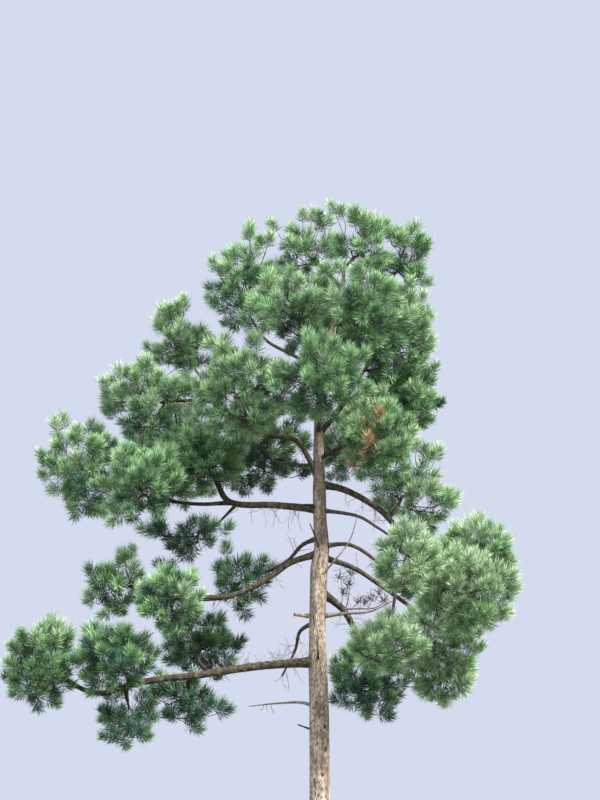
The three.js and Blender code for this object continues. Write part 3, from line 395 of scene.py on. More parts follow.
# Floor and camera. The camera's focal length is in pixels of the image.
FLOOR_COLOUR = (128, 130, 120)
FLOOR_RADIUS = 60
FLOOR_SIDES = 96
FLOOR_DROP = 0.002
CAMERA_PLACE = (-0.33, -34.0, 1.6)
CAMERA_PITCH = 20
CAMERA_FOCAL = 2067
IMAGE_HEIGHT = 800
SENSOR = 36
FARTHEST = 500

UP = np.array([0, 0, 1.0])
NEARLY_UPRIGHT = 0.9
GOLDEN_TURN = math.pi * (3 - math.sqrt(5))
# How far along its shoot each needle of a tuft stands
NEEDLE_PLACES = ((np.arange(NEEDLES_PER_TUFT) + 0.5) / NEEDLES_PER_TUFT) ** NEEDLE_CROWDING
CLUMP_TURNS = np.array(CLUMP_WAYS) * math.tau / CLUMP_SPACING

Limb = namedtuple("Limb", "name at r0 r1 way start", defaults=["trunk"])
Mass = namedtuple("Mass", "name start at middle half whorls region light level tips", defaults=[()])
Spray = namedtuple("Spray", "foot forward corners teeth front size")
Whorl = namedtuple("Whorl", "ahead top base")
Line = namedtuple("Line", "reach forward facing to_tip")
Seat = namedtuple("Seat", "place forward radius")

LIMBS = {name: Limb(name, *row) for name, row in LIMB_ROWS.items()}
LIMB_CURVES = {}
STUB_LIMBS = [Limb(f"stub_{i}", *row) for i, row in enumerate(STUBS)]
MASSES = [Mass(name, *row) for name, row in MASS_ROWS.items()]
MIDDLES = np.array([mass.middle for mass in MASSES])
HALVES = np.array([mass.half for mass in MASSES])
MEAN_HALVES = HALVES.mean(1)


def seeded_random(seed):
    """A repeatable source of numbers between 0 and 1, the same as the CAD source's."""
    state = seed

    def draw():
        nonlocal state
        state = (state + 0x6D2B79F5) & 0xFFFFFFFF
        t = ((state ^ (state >> 15)) * (state | 1)) & 0xFFFFFFFF
        t ^= (t + ((t ^ (t >> 7)) * (t | 61))) & 0xFFFFFFFF
        return (t ^ (t >> 14)) / 4294967296

    return draw


def mix(a, b, share):
    return a + (b - a) * share


def unit(v):
    return v / norm(v)


def unit_rows(rows):
    return rows / norm(rows, axis=-1)[..., None]


def shaken(draw, sag=0.5):
    return np.array([draw() - 0.5, draw() - 0.5, draw() - sag])


def distances(points, starts, ends):
    """Distance of each point from each straight stretch, and the share along it."""
    steps = ends - starts
    along = np.einsum("pai,ai->pa", points[:, None] - starts, steps)
    shares = np.clip(along / (steps**2).sum(1), 0, 1)
    feet = starts + shares[..., None] * steps
    return norm(points[:, None] - feet, axis=2), shares


class Curve:
    """A curve with even steps along its length."""

    DIVISIONS = 200
    STEP = 1e-4

    def __init__(self, point):
        self.point = point
        self.params = np.linspace(0, 1, self.DIVISIONS + 1)
        points = np.array([point(t) for t in self.params])
        steps = norm(np.diff(points, axis=0), axis=1)
        self.lengths = np.concatenate([[0], np.cumsum(steps)])
        self.length = self.lengths[-1]

    def param(self, share):
        return float(np.interp(share * self.length, self.lengths, self.params))

    def at(self, share):
        return self.point(self.param(share))

    def places(self, shares):
        return np.array([self.at(share) for share in shares])

    def tangent(self, share):
        t = self.param(share)
        return unit(self.point(min(1, t + self.STEP)) - self.point(max(0, t - self.STEP)))


def through(points):
    """A centripetal Catmull-Rom curve through points."""
    points = [np.array(p, float) for p in points]
    padded = [2 * points[0] - points[1], *points, 2 * points[-1] - points[-2]]

    def point(t):
        place = t * (len(points) - 1)
        i = min(int(place), len(points) - 2)
        share = place - i
        p = padded[i : i + 4]
        d = [max(((b - a) @ (b - a)) ** 0.25, 1e-9) for a, b in zip(p, p[1:])]
        leave = (p[1] - p[0]) / d[0] - (p[2] - p[0]) / (d[0] + d[1]) + (p[2] - p[1]) / d[1]
        arrive = (p[2] - p[1]) / d[1] - (p[3] - p[1]) / (d[1] + d[2]) + (p[3] - p[2]) / d[2]
        leave, arrive = leave * d[1], arrive * d[1]
        square = -3 * p[1] + 3 * p[2] - 2 * leave - arrive
        cube = 2 * p[1] - 2 * p[2] + leave + arrive
        return p[1] + share * (leave + share * (square + share * cube))

    return Curve(point)


def bow(start, control, end):
    """A quadratic curve from start to end."""
    return Curve(lambda t: (1 - t) ** 2 * start + 2 * t * (1 - t) * control + t * t * end)


def evenly(curve, radius_at, count):
    """Places at even steps along a curve, and the radii there."""
    shares = np.linspace(0, 1, count)
    return curve.places(shares), np.array([radius_at(share * curve.length) for share in shares])


# Trunk and limbs


def trunk_at(z):
    """The trunk's middle and radius at any height."""
    heights = [row[0] for row in TRUNK]
    x, y, r = (float(np.interp(z, heights, [row[i] for row in TRUNK])) for i in (1, 2, 3))
    return np.array([x, y, z]), r


def starts_at_tip(piece):
    return piece.start != "trunk" and piece.at == 1


def seat_of(piece):
    """Where a limb or stem starts on its carrier, with the carrier's direction and radius there."""
    if piece.start == "trunk":
        middle, radius = trunk_at(piece.at)
        return Seat(middle, UP, radius)
    limb = LIMBS[piece.start]
    curve = curve_of(limb)
    radius = limb_radius(limb, piece.at * curve.length)
    return Seat(curve.at(piece.at), curve.tangent(piece.at), radius)


def root_of(piece):
    """Where a limb or stem starts: on its carrier's middle line, sunk back a little at a tip."""
    seat = seat_of(piece)
    return seat.place - seat.forward * seat.radius if starts_at_tip(piece) else seat.place


def curve_of(limb):
    if limb.name not in LIMB_CURVES:
        LIMB_CURVES[limb.name] = through([root_of(limb), *limb.way])
    return LIMB_CURVES[limb.name]


def limb_radius(limb, distance):
    """The radius tapers to the end, with a collar where the limb leaves its carrier."""
    taper = mix(limb.r0, limb.r1, distance / curve_of(limb).length)
    if starts_at_tip(limb):
        return taper
    past = max(0, distance - seat_of(limb).radius)
    return taper + COLLAR_SWELL * limb.r0 * math.exp(-past / COLLAR_LENGTH)


# Spaces and obstacles


def inside_space(mass, points, overlap=0):
    """True where every point is nearer to the mass's middle than to any other's."""
    points = np.atleast_2d(points)
    squares = ((points[:, None] - MIDDLES) ** 2).sum(2) - MEAN_HALVES**2
    index = MASSES.index(mass)
    lead = squares - squares[:, [index]]
    margins = 2 * (SPACE_MARGIN - overlap) * norm(MIDDLES - MIDDLES[index], axis=1)
    lead[:, index] = 1
    return (lead > margins).all()


def inside_crown(mass, points):
    """True where every point is in the masses' ellipsoids, filled out where they lie close together.
    An open mass keeps to its own ellipsoid, a little grown."""
    is_open = mass.name in OPEN_MASSES
    reach = OPEN_PULL if is_open else CROWN_PULL
    away = norm((np.array(points)[:, None] - MIDDLES) / HALVES, axis=2)
    pulling = [other is mass if is_open else other.name not in OPEN_MASSES for other in MASSES]
    pull = (np.maximum(0, reach - away) ** 2)[:, pulling].sum(1)
    return (pull > 1).all()


def obstacle(owner, curve, radius_at):
    """Straight stretches along a limb or stem, with the radii at their ends."""
    count = max(2, math.ceil(curve.length / LIMB_SPACING))
    points, radii = evenly(curve, radius_at, count + 1)
    return owner, points[:-1], points[1:], radii[:-1], radii[1:]


def near_obstacles(mass):
    """The obstacles of other owners that lie within reach of a mass."""
    reach = max(mass.half) + SPRAY_FRONT
    rows = []
    for owner, starts, ends, low, high in OBSTACLES:
        near = norm(starts - mass.middle, axis=1) < reach + LIMB_SPACING
        if owner != mass.name and near.any():
            rows.append((starts[near], ends[near], low[near], high[near]))
    return [np.concatenate(column) for column in zip(*rows)] if rows else None


def touches_limb(near, start, ends):
    """True if a stretch from start to any of the ends comes too near to a limb or stem."""
    if near is None:
        return False
    starts, stops, low, high = near
    probes = []
    for end in np.atleast_2d(ends):
        count = max(2, math.ceil(norm(end - start) / PROBE_SPACING))
        probes.append(start + np.linspace(0, 1, count + 1)[:, None] * (end - start))
    gaps, shares = distances(np.concatenate(probes), starts, stops)
    return (gaps < mix(low, high, shares) + LIMB_CLEARANCE).any()


# A mass's stem


def heart_of(mass):
    return mass.middle + unit(root_of(mass) - mass.middle) * mass.half * HEART_SHARE


def stem_curve(mass):
    """The stem runs from its carrier to the heart of the mass."""
    root, heart, leave = root_of(mass), heart_of(mass), seat_of(mass).forward
    length = norm(heart - root)
    lean = leave if starts_at_tip(mass) else unit(unit(heart - root) + leave * STEM_LEAN)
    return bow(root, root + lean * length * STEM_LEAN, heart)


def stem_radius(mass, distance):
    share = distance / STEMS[mass.name].length
    sprays = SPRAYS_PER_WHORL * (mass.whorls + len(mass.tips))
    start = min(seat_of(mass).radius * STEM_WITHIN, TWIG_RADIUS * sprays**ROOT_POWER)
    return mix(start, TWIG_RADIUS * sprays**PIPE_POWER * STEM_TAPER, share)


# Whorls and sprays


def direction_of(index, count, draw):
    """Even directions round a sphere, each shaken a little."""
    z = 1 - (2 * index + 1) / count
    angle = index * GOLDEN_TURN + draw() * TURN_SHAKE
    flat = math.sqrt(1 - z * z)
    level = z + (draw() - 0.5) * LEVEL_SHAKE
    return unit(np.array([flat * math.cos(angle), flat * math.sin(angle), level]))


def whorl_line(reach, draw, upward=UPWARD, to_tip=False):
    """A whorl's reach from the middle of its mass, where it points, leaning up, and its turn."""
    forward = unit(unit(reach) + UP * upward + shaken(draw) * SHAKE)
    return Line(reach, forward, shaken(draw), to_tip)


def even_lines(mass, count, reaches, draw, spread=1, upward=UPWARD):
    """Lines to all sides, the nearest to the heart of the mass first."""
    lines = []
    for i in range(count):
        way = direction_of(i, count, draw) * mass.half
        lines.append(whorl_line(way * mix(*reaches, draw() ** spread), draw, upward))
    heart = heart_of(mass)
    return sorted(lines, key=lambda line: norm(whorl_at(mass, line, 1).base - heart))


def spray_at(foot, forward, facing, size):
    """A spray from its foot, with the direction that one of its corners faces."""
    across = unit(facing - forward * (facing @ forward))
    beside = np.cross(forward, across)

    def out(turn):
        angle = math.tau * turn / 3
        return across * math.cos(angle) + beside * math.sin(angle)

    middle = foot + forward * TOOTH_FORWARD * size
    corners = [out(j) for j in range(3)]
    teeth = [middle + out(j + 0.5) * TOOTH_OUT * size for j in range(3)]
    return Spray(foot, forward, corners, teeth, foot + forward * SPRAY_FRONT * size, size)


def whorl_at(mass, line, share, size=1):
    """The whorl on its line whose front lies at a share of the way to the edge of the mass."""
    front = mass.middle + line.reach * share
    foot = front - line.forward * SPRAY_FRONT * size
    top = foot - line.forward * SHOOT_LENGTH * size
    base = top - line.forward * WHORL_LENGTH * size
    return Whorl(spray_at(foot, line.forward, line.facing, size), top, base)


def side_sprays(whorl, size):
    """The side sprays of a whorl stand between the corners of the one ahead. Fine ones turn up."""
    sprays = []
    upward = FINE_SIDE_UPWARD if size < 1 else 0
    for corner in whorl.ahead.corners:
        forward = whorl.ahead.forward * math.cos(SIDE_ANGLE) + corner * math.sin(SIDE_ANGLE)
        forward = unit(forward + UP * upward)
        foot = whorl.base + forward * (SHOOT_LENGTH + TWIG_RADIUS) * size
        sprays.append(spray_at(foot, forward, whorl.ahead.forward, size))
    return sprays


def in_clump(mass, point):
    """True where the fine tufts of a mass stand, and not in the gaps between their clumps."""
    waves = np.sin(CLUMP_TURNS @ point)
    below = max(0, (mass.middle[2] - point[2]) / mass.half[2])
    return waves.mean() > mass.level + CLUMP_BELOW * below


def spray_fits(mass, near, line, spray, others):
    """True for a spray in its mass's space and the crown, clear of limbs and of the others."""
    fine = spray.size < 1
    if fine and not in_clump(mass, spray.front):
        return False
    clearance = FINE_CLEARANCE if fine else SPRAY_CLEARANCE
    ends = np.array([*spray.teeth, spray.front])
    if not inside_space(mass, [*ends, spray.foot], FINE_OVERLAP if fine else 0):
        return False
    if not (line.to_tip or inside_crown(mass, ends)) or touches_limb(near, spray.foot, ends):
        return False
    if not others:
        return True
    points = mix(spray.foot, spray.front, np.linspace(0, 1, SPRAY_PROBES)[:, None])
    feet = np.array([other.foot for other in others])
    fronts = np.array([other.front for other in others])
    return distances(points, feet, fronts)[0].min() > clearance


class Junction:
    """A stretch of stem or twig that later twigs can start on."""

    def __init__(self, low, high, first, path):
        self.low, self.high, self.first, self.path = low, high, first, path
        self.joined, self.most = [], MOST_JOINED

    def spot(self):
        return mix(self.low, self.high, self.first + STARTS_APART * len(self.joined))


class Twig(Junction):
    """A twig from a junction to a whorl."""

    def __init__(self, junction, whorl, sides, draw):
        start = junction.spot()
        length = norm(whorl.base - start)
        bent = length > LONG_TWIG
        bend = mix(start, whorl.base, 0.5) + shaken(draw, TWIG_SAG) * TWIG_BEND * length
        first = BENT_FIRST_START if bent else STRAIGHT_FIRST_START
        super().__init__(bend if bent else start, whorl.base, first, junction.path + length)
        self.points = [start, bend, whorl.base] if bent else [start, whorl.base]
        self.whorl, self.sides = whorl, sides

    def load(self):
        return 1 + len(self.sides) + sum(twig.load() for twig in self.joined)


def stem_junctions(mass, curve):
    """Where the stem can carry twigs: from the heart back to where it enters the mass."""
    steps = max(2, math.floor(curve.length / STEM_STEP + 0.5))
    shares = [i / steps for i in range(steps + 1)]
    points = [curve.at(share) for share in shares if share > 1 - STEM_CARRYING]
    points = [point for point in points if inside_space(mass, point)]
    return [Junction(b, a, STEM_FIRST_START, 0) for a, b in zip(points, points[1:])]


def best_junction(near, junctions, whorl):
    """The nearest junction, counting the turn and how far it lies from the stem."""

    def cost(junction):
        step = whorl.base - junction.spot()
        turn = 1 - unit(step) @ whorl.ahead.forward
        return norm(step) * (1 + TURN_WEIGHT * turn) + PATH_WEIGHT * junction.path

    free = [junction for junction in junctions if len(junction.joined) < junction.most]
    for junction in sorted(free, key=cost):
        if not touches_limb(near, junction.spot(), whorl.base):
            return junction
    return None


def join_whorls(mass, near, junctions, lines, sprays, size, draw):
    """Adds a twig for each line whose whorl fits, drawn in if need be."""
    for line in lines:
        tries = (whorl_at(mass, line, share, size) for share in DRAWN_IN)
        whorl = next((w for w in tries if spray_fits(mass, near, line, w.ahead, sprays)), None)
        best = whorl and best_junction(near, junctions, whorl)
        if not best:
            continue
        sides = [s for s in side_sprays(whorl, size) if spray_fits(mass, near, line, s, sprays)]
        sprays += [whorl.ahead, *sides]
        twig = Twig(best, whorl, sides, draw)
        best.joined.append(twig)
        junctions.append(twig)


def grow(mass):
    """The twigs of a mass: the CAD source's whorls, then the finer ones among them."""
    draw = seeded_random(FIRST_SEED + MASSES.index(mass))
    near = near_obstacles(mass)
    junctions = stem_junctions(mass, STEMS[mass.name])
    sprays = []
    lines = [whorl_line(np.array(tip) - mass.middle, draw, to_tip=True) for tip in mass.tips]
    lines += even_lines(mass, mass.whorls, REACH, draw)
    join_whorls(mass, near, junctions, lines, sprays, 1, draw)
    for junction in junctions:
        junction.most = FINE_JOINED
    count = FINE_LINES_OPEN if mass.name in OPEN_MASSES else FINE_LINES
    lines = even_lines(mass, count, FINE_REACH, draw, FINE_SPREAD, FINE_UPWARD)
    join_whorls(mass, near, junctions, lines, sprays, FINE_SIZE, draw)
    return [junction for junction in junctions if isinstance(junction, Twig)], sprays


# Meshes from arrays


def add_object(name, data):
    added = bpy.data.objects.new(name, data)
    bpy.context.scene.collection.objects.link(added)
    return added


def rounds_along(points, angles):
    """Directions out from a curve at each of its points, carried along it without twist."""
    tangents = unit_rows(np.gradient(points, axis=0))
    side = np.array([1.0, 0, 0]) if abs(tangents[0][2]) > NEARLY_UPRIGHT else UP
    across = []
    for tangent in tangents:
        side = unit(side - tangent * (side @ tangent))
        across.append(side)
    across = np.array(across)
    beside = np.cross(tangents, across)
    return across[:, None] * np.cos(angles)[:, None] + beside[:, None] * np.sin(angles)[:, None]


class MeshRows:
    """Corner points and four-sided faces gathered for one mesh."""

    def __init__(self):
        self.parts, self.count = [], 0

    def add(self, points, faces, slot=0, tones=0):
        slots, tones = np.broadcast_to(slot, len(faces)), np.broadcast_to(tones, len(points))
        self.parts.append((points, faces + self.count, slots, tones))
        self.count += len(points)

    def tube(self, points, radii, sides=TWIG_TUBE_SIDES):
        """A tapering tube through points, open at its narrow ends."""
        points = np.array(points)
        angles = np.linspace(0, math.tau, sides, endpoint=False)
        rings = points[:, None] + rounds_along(points, angles) * np.array(radii)[:, None, None]
        self.add(rings.reshape(-1, 3), ring_faces(len(points), sides))

    def piece(self, name, materials, smooth=False):
        points, faces, slots, tones = (np.concatenate(column) for column in zip(*self.parts))
        mesh = bpy.data.meshes.new(name)
        mesh.vertices.add(len(points))
        mesh.loops.add(faces.size)
        mesh.polygons.add(len(faces))
        for target, key, values, kind in (
            (mesh.vertices, "co", points, np.float32),
            (mesh.loops, "vertex_index", faces, np.int32),
            (mesh.polygons, "loop_start", np.arange(0, faces.size, 4), np.int32),
            (mesh.polygons, "material_index", slots, np.int32),
            (mesh.polygons, "use_smooth", np.full(len(faces), smooth), bool),
        ):
            target.foreach_set(key, values.astype(kind).ravel())
        tone = mesh.attributes.new("tone", "FLOAT", "POINT")
        tone.data.foreach_set("value", tones.astype(np.float32))
        mesh.update(calc_edges=True)
        for material in materials:
            mesh.materials.append(material)
        return add_object(name, mesh)


def ring_faces(rings, sides):
    """Four-sided faces between neighbouring rings."""
    low = np.arange(rings - 1)[:, None] * sides + np.arange(sides)
    high = np.arange(rings - 1)[:, None] * sides + np.roll(np.arange(sides), -1)
    return np.stack([low, high, high + sides, low + sides], axis=2).reshape(-1, 4)


# Needles


def needle_tones(count, random):
    """How pale each corner is: dark at the root, partly painted shade in the tuft's core, pale at the tip,
    paler high on the shoot.
    """
    tips = mix(TONE_LOW, 1, NEEDLE_PLACES) * random.uniform(TONE_SHAKE, 1, (count, NEEDLES_PER_TUFT))
    return np.outer(tips, TONE_AT_CORNERS).ravel()


def tuft_needles(sprays, random):
    """Corners of the needles round each spray's shoot: root, side, tip and side."""
    count, per = len(sprays), NEEDLES_PER_TUFT
    feet, ways = (np.array(column) for column in zip(*((s.foot, s.forward) for s in sprays)))
    sizes = np.array([spray.size for spray in sprays]) * random.uniform(*TUFT_SIZES, count)
    helper = np.where(np.abs(ways[:, 2:]) > NEARLY_UPRIGHT, [1.0, 0, 0], UP)
    across = unit_rows(np.cross(ways, helper))
    beside = np.cross(ways, across)
    turns = np.arange(per) * GOLDEN_TURN + random.uniform(0, TUFT_TURNS, (count, 1))
    opens = mix(*NEEDLE_OPEN, NEEDLE_PLACES) + random.normal(0, NEEDLE_SHAKE, (count, per))
    out = across[:, None] * np.cos(turns)[..., None] + beside[:, None] * np.sin(turns)[..., None]
    ways = ways[:, None]
    leave = ways * np.cos(opens)[..., None] + out * np.sin(opens)[..., None]
    size = sizes[:, None, None]
    roots = feet[:, None] + ways * (mix(TUFT_BARE, 1, NEEDLE_PLACES) * TUFT_SHOOT)[:, None] * size
    reach = size * (NEEDLE_LENGTH * random.uniform(*NEEDLE_LENGTHS, (count, per)))[..., None]
    rise = UP * NEEDLE_RISE + random.normal(0, NEEDLE_RISE_SHAKE, (count, per, 3))
    middles = roots + leave * reach * 0.5
    tips = roots + (leave + rise) * reach
    flat = unit_rows(np.cross(leave, random.normal(0, 1, (count, per, 3)))) * NEEDLE_WIDTH / 2
    corners = np.stack([roots, middles + flat, tips, middles - flat], axis=2)
    return corners.reshape(-1, 3)


def deal_colours(mass, sprays, random):
    """A colour for each tuft, as painted light and shade: lighter on top and outside, darker below and
    inside the mass.
    """
    fronts = np.array([spray.front for spray in sprays])
    offset = (fronts - mass.middle) / mass.half
    outward = norm(offset, axis=1) - PAINTED_LIGHT_EDGE
    # painted light on top and outside, painted shade below and inside, shifted by the mass's own painted
    # light
    light = PAINTED_LIGHT_MIDDLE + mass.light + PAINTED_LIGHT_UPWARD * offset[:, 2] + PAINTED_LIGHT_OUTWARD * outward
    light += random.normal(0, LIGHT_SHAKE, len(sprays))
    away = norm((fronts[:, None] - DRY_PLACES) / DRY_HALF, axis=2).min(axis=1)
    return np.where(away < 1, DRY_COLOUR, np.digitize(light, COLOUR_STEPS))


# Twigs and shoots


def add_twigs(rows, mass, twigs):
    """The stem of a mass, its twigs, and a shoot into each tuft."""
    rows.tube(*evenly(STEMS[mass.name], partial(stem_radius, mass), STEM_RINGS), STEM_TUBE_SIDES)
    for twig in twigs:
        thick = FINE_TWIG_RADIUS * twig.load() ** PIPE_POWER
        top = FINE_TWIG_RADIUS * (1 + len(twig.sides)) ** PIPE_POWER
        points = [*twig.points, twig.whorl.top]
        rows.tube(points, np.linspace(thick, top, len(points)))
        add_shoot(rows, twig.whorl.top, twig.whorl.ahead)
        for side in twig.sides:
            add_shoot(rows, twig.whorl.base, side)


def add_shoot(rows, start, spray):
    end = spray.foot + spray.forward * TUFT_SHOOT * spray.size
    rows.tube([start, spray.foot, end], SHOOT_TAPER * FINE_TWIG_RADIUS)


def add_dry_twig(rows, start, way, length, random):
    """A crooked dead twig with finer ones off it."""
    bends = random.normal(0, DRY_TWIG_BEND, (DRY_TWIG_STEPS, 3))
    steps = unit_rows(way + np.cumsum(bends, axis=0))
    points = np.concatenate([[start], start + np.cumsum(steps, axis=0) * length / DRY_TWIG_STEPS])
    radii = np.linspace(*DRY_TWIG_TAPER, DRY_TWIG_STEPS + 1) * DRY_TWIG_RADIUS
    rows.tube(points, radii)
    for step, point in zip(steps[:-1], points[1:]):
        side = unit(step + random.normal(0, DRY_FINE_SHAKE, 3))
        end = point + side * length * random.uniform(*DRY_FINE_SIZES)
        rows.tube([point, end], np.array(DRY_FINE_TAPER) * DRY_TWIG_RADIUS)


def dry_twigs(materials):
    rows = MeshRows()
    random = np.random.default_rng(DRY_SEED)
    for name, low, high, count, length, lift in DRY_TWIGS:
        for share in random.uniform(low, high, count):
            start = curve_of(LIMBS[name]).at(share)
            way = unit(UP * lift + random.normal(0, DRY_TWIG_SHAKE, 3))
            add_dry_twig(rows, start, way, length * random.uniform(*DRY_TWIG_SIZES), random)
    return rows.piece("dry_twigs", materials)


def side_shoots(materials):
    """Dark shoots off the limbs, and dead tufts of short curled hairs."""
    rows = MeshRows()
    random = np.random.default_rng(DRY_SEED)
    for at, r0, r1, way in SIDE_SHOOTS:
        curve = through([curve_of(LIMBS[SHOOTS_ON]).at(at), *way])
        points = curve.places(np.linspace(0, 1, SIDE_SHOOT_RINGS))
        rows.tube(points, np.linspace(r0, r1, SIDE_SHOOT_RINGS))
    for place in np.array(DRY_TUFTS):
        for _ in range(DRY_HAIRS):
            way = unit(UP * HAIR_UPWARD + random.normal(0, HAIR_SHAKE, 3))
            foot = place + random.normal(0, HAIR_APART, 3)
            bend = foot + way * DRY_HAIR_LENGTH / 2
            curl = unit(way + random.normal(0, HAIR_CURL, 3))
            end = bend + curl * DRY_HAIR_LENGTH * random.uniform(*HAIR_ENDS)
            rows.tube([foot, bend, end], SHOOT_TAPER * DRY_HAIR_RADIUS)
    return rows.piece("side_shoots", materials)


# Bark


def plate_relief(u, v, cells, random):
    """1 in the fissures and 0 on the plates between them, closing on itself round the limb."""
    shifts = random.uniform(0, 1, (cells, PLATE_ROWS, 2))
    i, j = np.floor(u).astype(int), np.floor(v).astype(int)
    gaps = []
    for di in (-1, 0, 1):
        for dj in (-1, 0, 1):
            shift = shifts[(i + di) % cells, (j + dj) % PLATE_ROWS]
            gaps.append(np.hypot(i + di + shift[..., 0] - u, j + dj + shift[..., 1] - v))
    nearest = np.sort(gaps, axis=0)
    return 1 - np.clip((nearest[1] - nearest[0]) / FISSURE_WIDTH, 0, 1)


def knot_relief(points, angles, radii):
    """1 in the middle of each knot on the trunk, fading to 0 round it."""
    relief = np.zeros((len(points), len(angles)))
    for height, turn, size in KNOTS:
        across = radii[:, None] * np.angle(np.exp(1j * (angles - turn)))
        away = np.hypot(points[:, 2:] - height, across)
        relief = np.maximum(relief, np.exp(-((away / size) ** 2)))
    return relief


def add_bark(rows, points, radii, sides, cells, depth, random, trunk=False, slot=0):
    """A limb's surface with plates and fissures, closed at both ends."""
    around = np.arange(sides) / sides
    run = np.concatenate([[0], np.cumsum(norm(np.diff(points, axis=0), axis=1))])
    relief = plate_relief(around * cells, (run / PLATE_HEIGHT)[:, None], cells, random)
    angles = around * math.tau
    if trunk:
        relief = np.maximum(relief, knot_relief(points, angles, radii) * KNOT_DEPTH)
    reach = radii[:, None] * (root_flare(points, angles) if trunk else 1) * (1 - depth * relief)
    rings = points[:, None] + rounds_along(points, angles) * reach[..., None]
    first, last = mix(points[0], rings[:1], CLOSED_TO), mix(points[-1], rings[-1:], CLOSED_TO)
    closed = np.concatenate([first, rings, last])
    # the tones give fissures and knots the dark fissure colour: partly the bark's own, partly painted shade
    # in the hollows
    tones = np.concatenate([relief[:1], relief, relief[-1:]])
    rows.add(closed.reshape(-1, 3), ring_faces(len(closed), sides), slot, tones.ravel())


def root_flare(points, angles):
    lobe = ROOT_LOBE_DEPTH * np.exp(-points[:, 2:] / ROOT_LOBE_HEIGHT)
    return 1 + lobe * np.cos(ROOT_LOBES * angles)


def add_limb_bark(rows, limb, random):
    curve = curve_of(limb)
    count = max(LEAST_RINGS, round(curve.length / BARK_RING))
    points, radii = evenly(curve, partial(limb_radius, limb), count)
    # the dark limbs take the bough bark in slot 1, painted shade on the curled dead limb
    add_bark(rows, points, radii, *LIMB_BARK, random, slot=int(limb.name in DARK_LIMBS))


def bark_pieces(bark, bough_bark, dead_wood):
    random = np.random.default_rng(BARK_SEED)
    rows = MeshRows()
    heights = np.linspace(0, TRUNK[-1][0], round(TRUNK[-1][0] / BARK_RING))
    points, radii = (np.array(column) for column in zip(*map(trunk_at, heights)))
    add_bark(rows, points, radii, *TRUNK_BARK, random, trunk=True)
    for stub in STUB_LIMBS:
        add_limb_bark(rows, stub, random)
    dress(rows.piece("trunk_bark", [bark, bough_bark], smooth=True), "bark", "trunk")
    for name, materials, slot, dead in (
        ("bough_bark", [bough_bark], "bark", False),
        ("dead_limb_wood", [dead_wood, bough_bark], "dead_wood", True),
    ):
        rows = MeshRows()
        limbs = [limb for limb in LIMBS.values() if (limb.name in DEAD_LIMBS) == dead]
        for limb in limbs:
            add_limb_bark(rows, limb, random)
        dress(rows.piece(name, materials, smooth=True), slot, *(limb.name for limb in limbs))


# Materials


def linear(rgb):
    """A colour as the renderer takes it, from its 0 to 255 values."""
    values = [c / 255 for c in rgb]
    return [*(c / 12.92 if c <= 0.04045 else ((c + 0.055) / 1.055) ** 2.4 for c in values), 1]


def set_inputs(node, values):
    for name, value in values.items():
        node.inputs[name].default_value = value


def new_material(name, shine):
    material = bpy.data.materials.new(name)
    material.use_nodes = True
    shader = material.node_tree.nodes["Principled BSDF"]
    set_inputs(shader, {"Roughness": shine[0], "Specular IOR Level": shine[1]})
    return material, material.node_tree, shader


def noise(tree, scale, detail, stretch=(1, 1, 1)):
    coordinates = tree.nodes.new("ShaderNodeTexCoord")
    mapping = tree.nodes.new("ShaderNodeMapping")
    set_inputs(mapping, {"Scale": stretch})
    texture = tree.nodes.new("ShaderNodeTexNoise")
    set_inputs(texture, {"Scale": scale, "Detail": detail})
    tree.links.new(coordinates.outputs["Object"], mapping.inputs["Vector"])
    tree.links.new(mapping.outputs["Vector"], texture.inputs["Vector"])
    return texture.outputs["Fac"]


def ramp(tree, value, stops):
    node = tree.nodes.new("ShaderNodeValToRGB")
    elements = node.color_ramp.elements
    while len(elements) < len(stops):
        elements.new(0.5)
    for element, (place, colour) in zip(elements, stops):
        element.position = place
        element.color = linear(colour)
    tree.links.new(value, node.inputs["Fac"])
    return node.outputs["Color"]


def colour_by_tone(tree, shader, a, b):
    """Colour a where the tone is 0 and b where it is 1. A colour is an output or a fixed value."""
    tone = tree.nodes.new("ShaderNodeAttribute")
    tone.attribute_name = "tone"
    node = tree.nodes.new("ShaderNodeMix")
    node.data_type = "RGBA"
    tree.links.new(tone.outputs["Fac"], node.inputs["Factor"])
    for socket, colour in ((node.inputs[6], a), (node.inputs[7], b)):
        if isinstance(colour, bpy.types.NodeSocket):
            tree.links.new(colour, socket)
        else:
            socket.default_value = linear(colour)
    tree.links.new(node.outputs[2], shader.inputs["Base Color"])


def wood_material(name, plates, fissure, scale):
    """Wood with streaks along the limb and dark fissures, whose colour is partly the wood's own and partly
    painted shade.
    """
    material, tree, shader = new_material(name, WOOD_SHINE)
    streaks = noise(tree, scale, WOOD_DETAIL, STREAK_STRETCH)
    colour_by_tone(tree, shader, ramp(tree, streaks, list(zip(WOOD_STEPS, plates))), fissure)
    bump = tree.nodes.new("ShaderNodeBump")
    set_inputs(bump, {"Strength": BUMP_STRENGTH, "Distance": BUMP_DEPTH})
    grain = noise(tree, scale * GRAIN_FINENESS, WOOD_DETAIL, GRAIN_STRETCH)
    tree.links.new(grain, bump.inputs["Height"])
    tree.links.new(bump.outputs["Normal"], shader.inputs["Normal"])
    return material


def needle_material(name, root, tip):
    """Needles paler towards their tips, their dark roots partly painted shade, with some variation from
    place to place.
    """
    material, tree, shader = new_material(name, NEEDLE_SHINE)
    stops = [(place, [min(255, c * bright) for c in tip]) for place, bright in PATCHES]
    colour_by_tone(tree, shader, root, ramp(tree, noise(tree, PATCH_SCALE, PATCH_DETAIL), stops))
    return material


# The scene


def dress(piece, slot, *nodes):
    """Tells the frame of a piece. A loose one stands for no nodes."""
    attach(piece, "root")
    if nodes:
        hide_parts(*nodes)


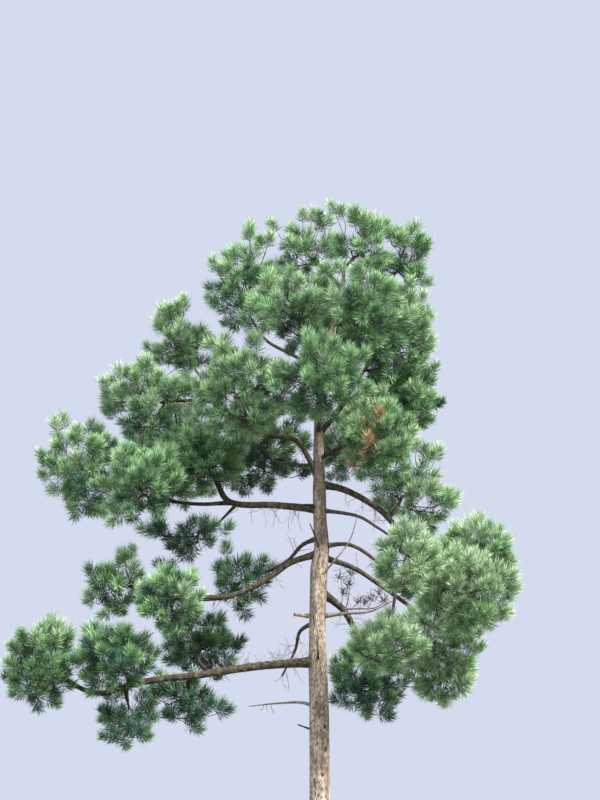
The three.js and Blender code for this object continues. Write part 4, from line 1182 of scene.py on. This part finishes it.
def crown(twig_bark, needle_materials):
    """The needles and the twigs of each region, each kind in one piece."""
    random = np.random.default_rng(NEEDLE_SEED)
    for place, region in enumerate(REGIONS):
        needles, wood = MeshRows(), MeshRows()
        masses = [mass for mass in MASSES if mass.region == place]
        for mass in masses:
            twigs, sprays = grow(mass)
            add_twigs(wood, mass, twigs)
            corners = tuft_needles(sprays, random)
            slots = np.repeat(deal_colours(mass, sprays, random), NEEDLES_PER_TUFT)
            faces = np.arange(len(corners)).reshape(-1, 4)
            needles.add(corners, faces, slots, needle_tones(len(sprays), random))
        nodes = [f"{mass.name}_needles" for mass in masses]
        dress(needles.piece(f"{region}_needles", needle_materials), "needles", *nodes)
        dress(wood.piece(f"{region}_twigs", [twig_bark]), "bark", *nodes)


def set_stage():
    """A pale floor, a pale sky and a soft sun."""
    bpy.ops.mesh.primitive_circle_add(vertices=FLOOR_SIDES, radius=FLOOR_RADIUS, fill_type="NGON")
    floor = bpy.context.active_object
    floor.name = "floor"
    floor.location.z = -FLOOR_DROP
    material, _, shader = new_material("floor", FLOOR_SHINE)
    set_inputs(shader, {"Base Color": linear(FLOOR_COLOUR)})
    floor.data.materials.append(material)
    world = bpy.data.worlds.new("sky")
    bpy.context.scene.world = world
    world.use_nodes = True
    background = world.node_tree.nodes["Background"]
    set_inputs(background, {"Color": linear(SKY_COLOUR), "Strength": SKY_STRENGTH})
    for name, colour, strength, softness, turn in LIGHTS:
        light = bpy.data.lights.new(name, "SUN")
        light.energy = strength
        light.angle = softness
        light.color = colour
        add_object(name, light).rotation_euler = turn
    bpy.context.scene.view_settings.view_transform = "Standard"


def set_camera():
    camera = bpy.data.cameras.new("camera")
    camera.sensor_width = SENSOR
    camera.lens = CAMERA_FOCAL / IMAGE_HEIGHT * SENSOR
    camera.clip_end = FARTHEST
    seat = add_object("camera", camera)
    seat.location = CAMERA_PLACE
    seat.rotation_euler = (math.radians(90 + CAMERA_PITCH), 0, 0)
    bpy.context.scene.camera = seat


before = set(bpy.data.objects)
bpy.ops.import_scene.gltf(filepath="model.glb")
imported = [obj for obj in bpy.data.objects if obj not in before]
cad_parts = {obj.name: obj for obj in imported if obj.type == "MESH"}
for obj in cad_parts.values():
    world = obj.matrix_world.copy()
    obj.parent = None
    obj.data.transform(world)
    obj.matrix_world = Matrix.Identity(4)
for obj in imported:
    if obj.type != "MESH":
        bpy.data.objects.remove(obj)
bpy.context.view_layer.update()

STEMS = {mass.name: stem_curve(mass) for mass in MASSES}
OBSTACLES = [
    obstacle("trunk", through([(x, y, z) for z, x, y, _ in TRUNK]), lambda d: trunk_at(d)[1]),
    *(obstacle(limb.name, curve_of(limb), partial(limb_radius, limb)) for limb in LIMBS.values()),
    *(obstacle("trunk", curve_of(stub), lambda d, stub=stub: stub.r0) for stub in STUB_LIMBS),
    *(obstacle(mass.name, STEMS[mass.name], partial(stem_radius, mass)) for mass in MASSES),
]

set_stage()
set_camera()
trunk_bark, bough_bark, dead_wood, twig_bark = (wood_material(name, *row) for name, row in WOODS.items())
needle_looks = [needle_material(f"needles_{name}", root, tip) for name, root, tip in NEEDLE_COLOURS]
bark_pieces(trunk_bark, bough_bark, dead_wood)
crown(twig_bark, needle_looks)
dress(dry_twigs([dead_wood]), "dead_wood")
dress(side_shoots([twig_bark]), "bark")
